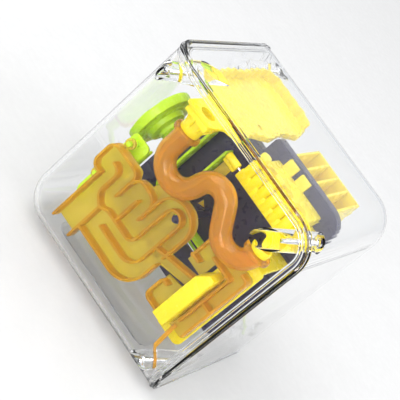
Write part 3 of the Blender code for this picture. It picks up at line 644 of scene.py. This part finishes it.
# Seam corners: the sign of x, y and z. Those with one minus take their screw from the rear shell.
SEAM_CORNERS = [(1, -1, 1), (-1, -1, 1), (1, -1, -1), (-1, 1, 1), (-1, 1, -1), (1, 1, -1)]


def post_middle(signs):
    """The middle of a screw post, where the track pieces' eyes are clamped."""
    return CENTRE + Vector(signs) * (HALF - POST_INSET)


def is_driven(signs, side):
    """Whether the screw's head is in this side's half of the post."""
    return (sum(signs) > 0) == (side > 0)


def rounded_body(inset):
    """The closed body with its six plain edges rounded and its six seam edges sharp."""
    reach = 2 * (HALF - BEAD_PROUD - inset)
    cube = bmesh.new()
    bmesh.ops.create_cube(cube, size=reach)
    plain = [edge for edge in cube.edges if abs(sum(sum(face.normal) for face in edge.link_faces)) > 1.5]
    bmesh.ops.bevel(cube, geom=plain, offset=EDGE_RADIUS - inset, segments=EDGE_SEGMENTS, profile=0.5,
                    affect="EDGES")
    bmesh.ops.translate(cube, vec=CENTRE, verts=cube.verts)
    cube.normal_update()
    return cube


def shell_wall(side):
    """One shell's wall, mitred along the seam."""
    wall = bmesh.new()
    for inset, flip in ((0.0, False), (WALL, True)):
        skin = rounded_body(inset)
        others = [face for face in skin.faces if sum(face.normal) * side < 0]
        bmesh.ops.delete(skin, geom=others, context="FACES")
        if flip:
            bmesh.ops.reverse_faces(skin, faces=skin.faces)
        mesh = bpy.data.meshes.new("skin")
        skin.to_mesh(mesh)
        skin.free()
        wall.from_mesh(mesh)
        bpy.data.meshes.remove(mesh)
    bmesh.ops.bridge_loops(wall, edges=[edge for edge in wall.edges if edge.is_boundary])
    bmesh.ops.recalc_face_normals(wall, faces=wall.faces)
    half_gap = SEAM_GAP / (2 * math.sqrt(2))
    slack = 1 - half_gap / (HALF - BEAD_PROUD)
    shift = CENTRE + Vector((side, side, side)) * half_gap
    drawn_in = Matrix.Translation(shift) @ Matrix.Scale(slack, 4) @ Matrix.Translation(-CENTRE)
    bmesh.ops.transform(wall, matrix=drawn_in, verts=wall.verts)
    return add_bmesh("wall", wall)


def seam_run(side, own, other):
    """Closed path along the seam, own from the shell's three faces and other from the three it meets."""
    corners = [(1, -1, 1), (1, -1, -1), (1, 1, -1), (-1, 1, -1), (-1, 1, 1), (-1, -1, 1)]
    points = []
    for index, corner in enumerate(corners):
        before = corners[index - 1]
        after = corners[(index + 1) % 6]
        enter = next(axis for axis in range(3) if before[axis] != corner[axis])
        leave = next(axis for axis in range(3) if after[axis] != corner[axis])
        still = 3 - enter - leave
        radius = EDGE_RADIUS - (other if corner[enter] > 0 else own)
        for step in range(EDGE_SEGMENTS + 1):
            angle = math.pi / 2 * step / EDGE_SEGMENTS
            point = Vector((0, 0, 0))
            point[enter] = corner[enter] * (HALF - EDGE_RADIUS + radius * math.sin(angle))
            point[leave] = corner[leave] * (HALF - EDGE_RADIUS + radius * math.cos(angle))
            point[still] = corner[still] * (HALF - (own if corner[still] < 0 else other))
            points.append(point)
    return [CENTRE - point * side for point in points]


def boss(signs, side):
    """A post's half on one shell, ending inside that shell's wall."""
    middle = post_middle(signs)
    away = DIAGONAL * side
    radius = EDGE_BOSS_RADIUS if is_driven(signs, side) else FACE_BOSS_RADIUS
    post = rod(middle + away * (EYE_THICKNESS / 2 + FIT), middle + away * 4 * POST_INSET, radius)
    return combine(post, [add_bmesh("core", rounded_body(WALL / 2))], "INTERSECT")


def screw_bores(signs, side):
    """What the screw needs cut from one shell."""
    middle = post_middle(signs)
    away = DIAGONAL * side
    face = EYE_THICKNESS / 2 + FIT
    if not is_driven(signs, side):
        return [rod(middle, middle + away * (face + SCREW_BITE + MM), SCREW_RADIUS + FIT / 2)]
    seat = middle + away * (face + SCREW_GRIP)
    return [rod(middle, seat + away * MM, SCREW_RADIUS + FIT),
            rod(seat, middle + away * 3 * POST_INSET, SCREW_HEAD_RADIUS + 2 * FIT)]


def make_shell(node, side):
    """A clear corner shell: wall, seam ridges outside and inside, post halves, and the rest pad below."""
    beads = [swept(seam_run(side, BEAD_RADIUS, BEAD_SPACING), BEAD_RADIUS, closed=True),
             swept(seam_run(side, WALL + BEAD_PROUD, LIP_PLACE), LIP_RADIUS, closed=True)]
    added = beads + [boss(signs, side) for signs in SEAM_CORNERS]
    if side < 0:
        reach = PAD_SIDE / 2
        corners = [(u * reach, v * reach, PAD_CORNER) for u, v in ((-1, -1), (1, -1), (1, 1), (-1, 1))]
        added.append(plate(level(LOW.z), corners, 0, BEAD_PROUD + WALL / 2))
    body = combine(shell_wall(side), added, "UNION")
    cuts = [cut for signs in SEAM_CORNERS for cut in screw_bores(signs, side)]
    show(combine(body, cuts, "DIFFERENCE"), f"clear_{node}", "clear_plastic", f"case_{node}", smooth=28)


def with_eye(body, signs, root):
    """Joins a clamped eye at a screw post to a track piece by an arm that starts at the root point."""
    middle = post_middle(signs)
    half = DIAGONAL * EYE_THICKNESS / 2
    root = Vector(root)
    flat = root - middle
    flat -= DIAGONAL * flat.dot(DIAGONAL)
    flat.normalize()
    past = middle + flat * (FACE_BOSS_RADIUS + 2.5 * MM)
    eye = rod(middle - half, middle + half, EYE_RADIUS, soft=SOFT_EDGE)
    inner = beam(middle + flat * (EYE_RADIUS - 2 * MM), past + flat * MM, ARM_WIDTH,
                 EYE_THICKNESS - 0.4 * MM, DIAGONAL)
    outer = beam(past, root, ARM_WIDTH - MM, EYE_THICKNESS + MM, DIAGONAL)
    body = combine(body, [eye, inner, outer], "UNION")
    return combine(body, [rod(middle - half * 3, middle + half * 3, SCREW_RADIUS + FIT)], "DIFFERENCE")


# ---------------------------------------------------------------- amber tracks

def make_front_track():
    """The amber track at the left of the front: chute, U channel, arches and the ramp to the right."""
    outline = [(-66, 13), (-43, 13), (-43, 23.5), (20.6, 23.5, 23), (20.6, 60), (38, 65.5),
               (46.5, 68), (46.5, 80.8), (20.6, 73.5), (20.6, 110.4, 18), (-13.5, 110.4, 12), (-14, 104),
               (-29, 104, 7), (-29, 92.4, 2), (-40.6, 92.4, 9), (-40.6, 88), (-44, 93, 4),
               (-76, 93, 8), (-76, 65, 8), (-66, 65, 2)]
    rails = [
        [(-65, 65), (-65, 11)],
        [(-44, 48), (-44, 11)],
        [(-44, 24.6), (19.5, 24.6, 22), (19.5, 60)],
        [(-32, 40), (9, 40, 13), (9, 101, 7.4), (-6, 101, 7.4), (-6, 53, 6), (-37, 53, 6), (-44, 48.5, 5),
         (-53.5, 56, 9), (-53.5, 81, 7), (-62, 81)],
        [(-68, 91.8), (-41.6, 91.8, 6), (-41.6, 66)],
        [(-40, 84), (-40, 91.4, 7), (-16, 91.4, 10), (-16, 70)],
        [(-27.5, 78), (-27.5, 53)],
        [(-16, 84), (-16, 109.2, 17.5), (19.5, 109.2, 17.5), (19.5, 69)],
        [(-65, 66), (-75, 66, 7), (-75, 91.8, 7), (-66, 91.8)],
        [(9, 69), (46, 80)],
    ]
    plane = front(FRONT_PLANE)
    ears = [drill(plane, u, v, EAR_RADIUS, -PLATE, 0) for u, v in PEGS]
    holes = [drill(plane, *CORE_PEG, 4 * MM, -2 * PLATE, PLATE / 2)]
    holes += [drill(plane, u, v, PEG_RADIUS + FIT, -2 * PLATE, 2 * PLATE) for u, v in PEGS]
    body = track(plane, outline, rails, extra=ears, holes=holes)
    show(body, "front_track", "amber_plastic", "amber_front_track")


def make_side_track():
    """The amber track at the right of the front, with a clamped eye at the lower screw post."""
    outline = [(30.4, 38), (76, 38, 5), (76, 116, 4), (30.4, 116, 4)]
    rails = [
        [(37, 59), (31.5, 59, 2), (31.5, 39.1, 5), (54, 39.1)],
        [(74.9, 45), (74.9, 114.9, 4), (68, 114.9)],
        [(44, 104), (64.5, 104, 2), (64.5, 51)],
        [(64.5, 75), (74.9, 75)],
        [(31.8, 91.2), (31.8, 112)],
        [(31, 92), (39, 92)],
    ]
    plane = front(FRONT_PLANE)
    low = BAR_LEFT - 0.3
    high = BAR_LEFT + BAR_WIDTH + 0.3
    slot = [(low, 40.7), (high, 40.7), (high, 98.3), (low, 98.3)]
    notch = [(29, 61), (49, 66), (49, 82.5), (29, 82.5)]
    cuts = [plate(plane, layout(shape), -2 * PLATE, 2 * RAIL_HEIGHT, soft=0) for shape in (slot, notch)]
    body = with_eye(track(plane, outline, rails, holes=cuts), (1, -1, -1), on_plane(plane, 64, 42, MM))
    show(body, "side_track", "amber_plastic", "amber_side_track")


def make_rear_track():
    """The amber track on the rear, seen from behind the cube."""
    outline = [(-62, 44, 10), (68, 44, 10), (68, 132, 10), (-62, 132, 10)]
    rails = [
        [(-60.7, 131), (-60.7, 45.3, 8.7), (66.7, 45.3, 8.7), (66.7, 131)],
        [(-61, 112), (40, 112, 10), (40, 90)],
        [(67, 78), (0, 78, 10), (0, 94)],
        [(-61, 64), (-20, 64, 10), (-20, 94, 10), (-42, 94)],
        [(67, 60), (4, 60)],
    ]
    body = track(rear(REAR_PLANE), outline, rails)
    show(body, "rear_track", "amber_plastic", "amber_rear_track", material=AMBER_REAR)


def tangent_chain(start, circles, end):
    """A smooth run from start to end round circles (u, v, radius, turn), turn +1 for anticlockwise."""
    bends = [(Vector((u, v)), radius * turn) for u, v, radius, turn in circles]
    stops = [(start, 0.0), *bends, (end, 0.0)]
    headings = []
    for (here, bend), (there, next_bend) in zip(stops, stops[1:]):
        gap = there - here
        headings.append(math.atan2(gap.y, gap.x) + math.asin((bend - next_bend) / gap.length))
    points = [start]
    for index in range(1, len(stops) - 1):
        middle, bend = stops[index]
        turn = math.copysign(1, bend)
        sweep = (headings[index] - headings[index - 1]) * turn % (2 * math.pi)
        steps = max(3, round(sweep / ARC_STEP))
        for step in range(steps + 1):
            heading = headings[index - 1] + turn * sweep * step / steps
            points.append(middle + Vector((math.sin(heading), -math.cos(heading))) * bend)
    points.append(end)
    return points


def winding(run, radius, lead):
    """A round solid along a run in the tube plane, its ends carried on straight by the lead."""
    points = [front(TUBE_PLANE) @ Vector((point.x, point.y, 0)) for point in run]
    points[0] += (points[0] - points[1]).normalized() * lead
    points[-1] += (points[-1] - points[-2]).normalized() * lead
    return swept(points, radius)


def tube_end(drawn):
    return front(TUBE_PLANE) @ Vector((*layout([drawn])[0], 0))


def make_tube():
    """The amber winding tube with a flange at each end."""
    start, end = layout([TUBE_INLET, TUBE_OUTLET])
    circles = [(*layout([item[:3]])[0], item[3]) for item in TUBE_TURNS]
    run = tangent_chain(Vector(start), circles, Vector(end))
    up = Vector((0, 0, FLANGE_THICKNESS))
    radius = FLANGE_DIAMETER / 2
    flanges = [rod(tube_end(drawn) - up, tube_end(drawn), radius, segments=72, soft=2 * SOFT_EDGE)
               for drawn in (TUBE_INLET, TUBE_OUTLET)]
    body = combine(winding(run, TUBE_DIAMETER / 2, -MM), flanges, "UNION")
    body = combine(body, [winding(run, TUBE_DIAMETER / 2 - TUBE_WALL, 4 * MM)], "DIFFERENCE")
    show(body, "winding_tube", "amber_plastic", "amber_s_tube", smooth=40, material=AMBER_TUBE)


# ---------------------------------------------------------------- yellow pieces

def make_inlet_cup():
    """The yellow socket from the deck into the tube, with a square collar and eight ribs."""
    foot = tube_end(TUBE_INLET) + Vector((0, 0, FIT))
    head = Vector((foot.x, foot.y, DECK_LEVEL - PLATE - FIT))
    radius = TUBE_DIAMETER / 2
    reach = FLANGE_DIAMETER / 2
    collar = block(head - Vector((reach, reach, 5 * MM)), head + Vector((reach, reach, 0)),
                   soft=3 * SOFT_EDGE)
    ribs = []
    for step in range(8):
        angle = math.pi * step / 4
        aside = Vector((math.cos(angle), math.sin(angle), 0))
        low = head - Vector((0, 0, 11 * MM)) + aside * (radius - MM)
        high = head - Vector((0, 0, 3 * MM)) + aside * reach
        ribs.append(beam(low, high, 1.6 * MM, 2.4 * MM, aside))
    body = combine(rod(foot, head, radius, soft=SOFT_EDGE), [collar, *ribs], "UNION")
    spare = Vector((0, 0, MM))
    bore = rod(foot - spare, head + spare, radius - TUBE_WALL)
    show(combine(body, [bore], "DIFFERENCE"), "inlet_cup", "yellow_plastic", "yellow_inlet_cup")


def waved(points, height, length):
    """The run with a ripple across it, as the moulded deck edges have."""
    result = []
    travelled = 0.0
    for index, point in enumerate(points):
        before = points[max(0, index - 1)]
        after = points[min(len(points) - 1, index + 1)]
        along = (after - before).normalized()
        if index:
            travelled += (point - before).length
        side = Vector((-along.y, along.x))
        result.append(point + side * height * math.sin(2 * math.pi * travelled / length))
    return result


def divided(points, step):
    """The run with points at an even step."""
    result = [points[0]]
    for first, second in zip(points, points[1:]):
        count = max(1, round((second - first).length / step))
        result += [first.lerp(second, share / count) for share in range(1, count + 1)]
    return result


def make_deck():
    """The yellow top deck with its rippled wall, held at the two left upper posts."""
    plane = level(DECK_LEVEL)
    outline = [(-75, -50, 3), (-62, -42, 6), (-54, -60, 6), (-54, -89, 3), (-27, -89, 3), (-24, -66, 6),
               (-12, -58, 6), (-15, -36, 8), (-9, -12, 8), (-13, 14, 8), (-8, 40, 8), (-14, 66, 16),
               (-28, 72, 3), (-66, 72, 3), (-75, 62, 3)]
    wall = [(-73.5, -48), (-72, -30, 12), (-74, -8, 12), (-72, 14, 12), (-74, 40, 12), (-73.5, 60.5, 4),
            (-65, 70.5, 3), (-28, 70.5, 10), (-16, 64)]
    lip = [(-26, -64), (-14, -56, 5), (-16.5, -36, 8), (-10.5, -12, 8), (-14.5, 14, 8), (-9.5, 40, 8),
           (-15, 60)]
    body = plate(plane, layout(outline), -PLATE, 0)
    edges = []
    for run, height, ripple in ((wall, DECK_WALL, 0.9 * MM), (lip, DECK_LIP, 0.7 * MM)):
        points = waved(divided(rounded(layout(run), closed=False), 1.2 * MM), ripple, 11 * MM)
        edges.append(prism(plane, strip_outline(points, RAIL), -PLATE / 2, height))
    body = combine(body, edges, "UNION")
    inlet = Vector((tube_end(TUBE_INLET).x, TUBE_PLANE, DECK_LEVEL))
    rise = Vector((0, 0, 2 * PLATE))
    holes = [rod(inlet - rise, inlet + rise, TUBE_DIAMETER / 2 - TUBE_WALL),
             drill(plane, -22.6, -11, 2.6 * MM, -2 * PLATE, PLATE)]
    body = combine(body, holes, "DIFFERENCE")
    body = with_eye(body, (-1, -1, 1), on_plane(plane, -66, -47, -PLATE / 2))
    body = with_eye(body, (-1, 1, 1), on_plane(plane, -68, 62, -PLATE / 2))
    show(body, "top_deck", "yellow_plastic", "yellow_top_deck")


def make_steps():
    """The yellow block of ball pockets in front of the core wall, with the funnel over the tube's outlet."""
    low = STEPS_FOOT
    back = CORE_PLANE - FIT
    body = block((2 * DRAWN, STEPS_FRONT, low), (70 * DRAWN, back, low + 9 * MM), soft=1.2 * MM)
    added = [block((6 * DRAWN, STEPS_FRONT + 12 * MM, low + 8 * MM), (62 * DRAWN, back, low + 19 * MM),
                   soft=1.5 * MM)]
    for left in (12, 27):
        corner = (left * DRAWN, back - 4 * MM, low + 18 * MM)
        added.append(block(corner, ((left + 11) * DRAWN, back, low + 28 * MM), soft=0.8 * MM))
    outlet = tube_end(TUBE_OUTLET) + Vector((0, 0, FIT))
    top = outlet + Vector((0, 0, 5.5 * MM))
    added.append(rod(outlet, top, TUBE_DIAMETER / 2 - 0.7 * MM, soft=SOFT_EDGE))
    bridge = 4 * MM
    added.append(block((outlet.x - bridge, TUBE_PLANE + 7 * MM, outlet.z + MM),
                       (outlet.x + bridge, STEPS_FRONT + MM, low + 2 * MM)))
    for place, height in STEP_COLUMNS:
        foot = Vector((place * DRAWN, STEPS_FRONT + 3 * MM, low + MM))
        added.append(rod(foot, foot + Vector((0, 0, height * MM)), COLUMN_RADIUS, soft=4 * SOFT_EDGE))
    body = combine(body, added, "UNION")
    spare = Vector((0, 0, 3 * MM))
    cuts = [rod(outlet - spare, top + spare, TUBE_DIAMETER / 2 - TUBE_WALL)]
    for place in (17, 34, 51):
        centre = Vector((place * DRAWN, STEPS_FRONT + 14 * MM, low + 5 * MM))
        cuts.append(rod(centre, centre + Vector((0, 0, 30 * MM)), POCKET_RADIUS))
    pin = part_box("gate_pin")
    axis = Vector((pin[0].x, (pin[0].y + pin[1].y) / 2, (pin[0].z + pin[1].z) / 2))
    cuts.append(rod(axis, axis + Vector((40 * MM, 0, 0)), PIN_RADIUS + FIT / 2))
    body = combine(body, cuts, "DIFFERENCE")
    body = with_eye(body, (1, -1, 1), (66 * DRAWN, STEPS_FRONT + 2 * MM, low + 6 * MM))
    show(body, "pocket_steps", "yellow_plastic", "yellow_steps")


def make_bins():
    """The yellow open boxes behind the core wall."""
    plane = level(BINS_FLOOR)
    near = CORE_PLANE + CORE_THICKNESS + FIT
    far = 63 * DRAWN
    left, right = 6 * DRAWN, 62 * DRAWN
    body = plate(plane, [(left, near), (right, near), (right, far), (left, far)], -PLATE, 0)
    inset = RAIL / 2
    ring = [(left + inset, near + inset), (left + inset, far - inset), (right - inset, far - inset),
            (right - inset, near + inset)]
    runs = [ring] + [[(u * DRAWN, near + inset), (u * DRAWN, far - inset)] for u in (21, 34, 47)]
    walls = [strip(plane, run, -PLATE / 2, BINS_HEIGHT) for run in runs]
    show(combine(body, walls, "UNION"), "ball_bins", "yellow_plastic", "yellow_bins")


def make_side_frame():
    """The yellow frame behind the side track, whose thick bar stands through it."""
    plane = front(FRONT_PLANE)
    behind = -PLATE - FIT
    sheet = layout([(50, 29, 3), (77, 29, 6), (77, 124, 3), (50, 124, 3)])
    body = plate(plane, sheet, behind - PLATE, behind)
    low = BAR_LEFT
    high = BAR_LEFT + BAR_WIDTH
    section = layout([(low, 41), (high, 41), (high, 98), (low + 7, 98), (low, 88)])
    bar = plate(plane, section, behind - PLATE / 2, BAR_HEIGHT, soft=2 * SOFT_EDGE)
    reach = FRONT_PLANE - CORE_PLANE + FIT
    shelf = plate(plane, layout([(52, 121), (75, 121), (75, 124), (52, 124)]), reach, behind - PLATE / 2)
    show(combine(body, [bar, shelf], "UNION"), "side_frame", "yellow_plastic", "yellow_side_frame")


# ---------------------------------------------------------------- green pieces

def make_bowl():
    """The green dish that opens to the left, with fine rings round its two tiers."""
    low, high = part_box("green_bowl")
    depth = high.x - low.x
    radius = (high.z - low.z) / 2
    outer = [(radius, 0.0), (radius, 1.6 * MM), (radius - MM, 0.45 * depth),
             (BOWL_TIER + 5 * MM, 0.475 * depth), (BOWL_TIER + 4.4 * MM, 0.5 * depth),
             (BOWL_TIER + MM, 0.52 * depth), (BOWL_TIER, 0.75 * depth),
             (BOWL_NECK, 0.8 * depth), (BOWL_NECK, depth)]
    inner = [(place - PLATE, deep - PLATE) for place, deep in outer[2:]]
    inner[-1] = (BOWL_NECK - PLATE, depth)
    corners = [(*point, 0.9 * MM) for point in outer + inner[::-1] + [(radius - PLATE, 0.0)]]
    profile = [tuple(point) for point in rounded(corners, closed=True)]
    centre = (low + high) / 2
    matrix = Matrix.Translation((low.x, centre.y, centre.z)) @ Matrix.Rotation(math.pi / 2, 4, "Y")
    show(turned(profile, matrix), "stepped_bowl", "green_plastic", "green_bowl", smooth=50)


def make_chute():
    """The green channel behind the amber chute, whose two pegs hold the front track by its ears."""
    plane = front(CHUTE_PLANE)
    body = plate(plane, layout([(-74, 104, 4), (-55, 104, 4), (-55, 28, 9), (-74, 28, 9)]), -PLATE, 0)
    runs = [[(-73, 40), (-73, 100)], [(-56, 40), (-56, 100)]]
    added = [strip(plane, layout(run), -RAIL_HEIGHT, -PLATE / 2) for run in runs]
    reach = CHUTE_PLANE - FRONT_PLANE
    for u, v in PEGS:
        foot = on_plane(plane, u, v, -PLATE / 2)
        added.append(rod(foot, on_plane(plane, u, v, reach - PLATE - FIT), PEG_RADIUS + MM, soft=SOFT_EDGE))
        added.append(rod(foot, on_plane(plane, u, v, reach + 3 * MM), PEG_RADIUS, soft=2 * SOFT_EDGE))
    show(combine(body, added, "UNION"), "green_channel", "green_plastic", "green_chute")


def make_rail_frame():
    """The green rails that stand on the front of the core wall."""
    plane = front(CORE_PLANE - FIT)
    body = strip(plane, layout([(-43, 141), (-43, 75, 8), (34, 75)]), 0, GREEN_RAIL)
    upright = strip(plane, layout([(-23, 141), (-23, 75)]), 0, GREEN_RAIL)
    show(combine(body, [upright], "UNION"), "rail_frame", "green_plastic", "green_rail_frame")


def make_tray():
    """The green finish tray along the rear, held at the two lower rear posts, where the ball rests."""
    plane = level(TRAY_LEVEL)
    low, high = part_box("green_finish_tray")
    ball_low, ball_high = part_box("steel_ball")
    middle = (ball_low.y + ball_high.y) / 2
    half_width = (ball_high.y - ball_low.y) / 2 + 1.5 * MM + RAIL / 2
    end = TRAY_REACH * DRAWN
    edge = half_width + RAIL / 2
    corners = [(u * end, middle + v * edge, 4 * MM) for u, v in ((-1, -1), (1, -1), (1, 1), (-1, 1))]
    body = plate(plane, corners, -PLATE, 0)
    loop = [(0, -1), (1, -1), (1, 1), (-1, 1), (-1, -1), (-0.06, -1)]
    run = [(u * (end - RAIL / 2), middle + v * half_width, 3 * MM) for u, v in loop]
    body = combine(body, [strip(plane, run, -PLATE / 2, RAIL_HEIGHT)], "UNION")
    for side in (-1, 1):
        body = with_eye(body, (side, 1, -1), (side * (end - 3 * MM), middle - 4 * MM, TRAY_LEVEL - PLATE / 2))
    show(body, "finish_tray", "green_plastic", "green_finish_tray")


# ---------------------------------------------------------------- dark pieces

def make_core_wall():
    """The dark wall in the middle that the coloured pieces stand against."""
    plane = front(CORE_PLANE)
    edge = [(-64, 30, 6), (78, 30, 6), (78, 177, 16), (-8, 177, 4), (-8, 160, 3), (-64, 160, 6)]
    rim = [(-20, 31.3), (76.7, 31.3, 4.7), (76.7, 175.7, 14.7), (-6.7, 175.7, 2.7),
           (-6.7, 158.7, 4.3), (-62.7, 158.7, 4.7), (-62.7, 31.3, 4.7), (-22.8, 31.3)]
    added = [strip(plane, layout(rim), -CORE_THICKNESS, -PLATE / 2),
             drill(plane, *CORE_PEG, 3.2 * MM, -PLATE / 2, CORE_PLANE - FRONT_PLANE + 2 * MM)]
    added += [strip(plane, layout(run), -PLATE / 2, CORE_RIB, 1.6 * MM) for run in CORE_RIBS]
    body = combine(plate(plane, layout(edge), -PLATE, 0), added, "UNION")
    window = plate(plane, layout([(-10, 90), (-3, 93), (-9, 97)]), -2 * PLATE, PLATE, soft=0)
    slot = plate(plane, layout([(6, 62), (18, 62), (18, 66.5), (6, 66.5)]), -2 * PLATE, PLATE, soft=0)
    show(combine(body, [window, slot], "DIFFERENCE"), "core_wall", "purple_plastic", "purple_core_wall")


def make_fin(node):
    """A dark upright plate between the core wall and the rear track, with a window."""
    low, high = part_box(node)
    inset = Vector((-PLATE, 12 * DRAWN, 12 * DRAWN))
    body = combine(block(low, high), [block(low + inset, high - inset, soft=0)], "DIFFERENCE")
    show(body, node.replace("purple_", ""), "purple_plastic", node)


# ---------------------------------------------------------------- gate, screws and ball

def make_gate():
    """The small swinging gate: a yellow barrel on a steel pin, and the amber flap below it."""
    low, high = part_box("gate_barrel")
    pin_low, pin_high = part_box("gate_pin")
    axis = Vector(((low.x + high.x) / 2, (pin_low.y + pin_high.y) / 2, (pin_low.z + pin_high.z) / 2))
    half = Vector(((high.x - low.x) / 2, 0, 0))
    barrel = rod(axis - half, axis + half, high.z - axis.z, soft=2 * SOFT_EDGE)
    inner = half - Vector((0.3 * MM, 0, 0))
    foot = block(axis - inner - Vector((0, 1.6 * MM, axis.z - low.z)),
                 axis + inner + Vector((0, 1.6 * MM, -MM)))
    body = combine(barrel, [foot], "UNION")
    bore = rod(axis - 2 * half, axis + 2 * half, PIN_RADIUS + FIT)
    show(combine(body, [bore], "DIFFERENCE"), "gate_hub", "yellow_plastic", "gate_barrel", body="gate")
    low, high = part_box("gate_flap")
    show(block(low, high, soft=0.5 * MM), "gate_leaf", "amber_plastic", "gate_flap", body="gate")
    root = Vector((pin_low.x, axis.y, axis.z))
    tip = Vector((pin_high.x, axis.y, axis.z))
    show(rod(root, tip, PIN_RADIUS, soft=SOFT_EDGE), "gate_axle", "steel", "gate_pin")


def make_screw(number, signs):
    """A pan-head screw with a cross recess, turned about the body diagonal."""
    side = 1 if sum(signs) > 0 else -1
    away = DIAGONAL * side
    middle = post_middle(signs)
    face = EYE_THICKNESS / 2 + FIT
    under = middle + away * (face + SCREW_GRIP + FIT)
    tip = middle - away * (face + SCREW_BITE)
    length = (under - tip).length
    profile = [(0.0, 0.0), (0.5 * MM, 0.0)]
    turns = int(SCREW_THREAD / SCREW_PITCH)
    for turn in range(turns):
        place = 0.6 * MM + turn * SCREW_PITCH
        profile += [(SCREW_RADIUS - 0.45 * MM, place), (SCREW_RADIUS, place + SCREW_PITCH / 2)]
    profile += [(SCREW_RADIUS - 0.2 * MM, SCREW_THREAD + MM), (SCREW_RADIUS - 0.2 * MM, length),
                (SCREW_HEAD_RADIUS, length)]
    for step in range(5):
        angle = math.pi / 2 * step / 4
        profile.append((SCREW_HEAD_RADIUS * (1 - 0.25 * math.sin(angle)) if step < 4 else 1.8 * MM,
                        length + 1.0 * MM + 1.3 * MM * math.sin(angle)))
    profile.append((0.0, length + 2.35 * MM))
    turn = away.to_track_quat("Z", "Y").to_matrix().to_4x4()
    item = turned(profile, Matrix.Translation(tip) @ turn, steps=40, closed=False)
    top = under + away * 2.0 * MM
    axes = (turn.to_3x3() @ Vector((1, 0, 0)), turn.to_3x3() @ Vector((0, 1, 0)))
    slots = [beam(top - axis * 1.9 * MM, top + axis * 1.9 * MM, 0.7 * MM, 1.6 * MM, away, soft=0)
             for axis in axes]
    show(combine(item, slots, "DIFFERENCE"), f"screw_{number}", "steel", f"case_screw_{number}")


def make_ball():
    """The steel ball at rest in the finish tray."""
    low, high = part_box("steel_ball")
    ball = bmesh.new()
    bmesh.ops.create_icosphere(ball, subdivisions=5, radius=(high.z - low.z) / 2)
    bmesh.ops.translate(ball, vec=(low + high) / 2, verts=ball.verts)
    show(add_bmesh("ball", ball), "rolling_ball", "steel", "steel_ball", body="ball", smooth=80)


# ---------------------------------------------------------------- finish


make_camera()
make_world()
make_floor()
for light in LIGHTS:
    make_area_light(*light)
paint_cad_nodes()
for node, side in (("front_shell", -1), ("rear_shell", 1)):
    make_shell(node, side)
for number, signs in enumerate(SEAM_CORNERS, start=1):
    make_screw(number, signs)
make_front_track()
make_side_track()
make_rear_track()
make_tube()
make_inlet_cup()
make_deck()
make_steps()
make_bins()
make_side_frame()
make_bowl()
make_chute()
make_rail_frame()
make_tray()
make_core_wall()
for node in ("purple_fin_left", "purple_fin_right"):
    make_fin(node)
make_gate()
make_ball()
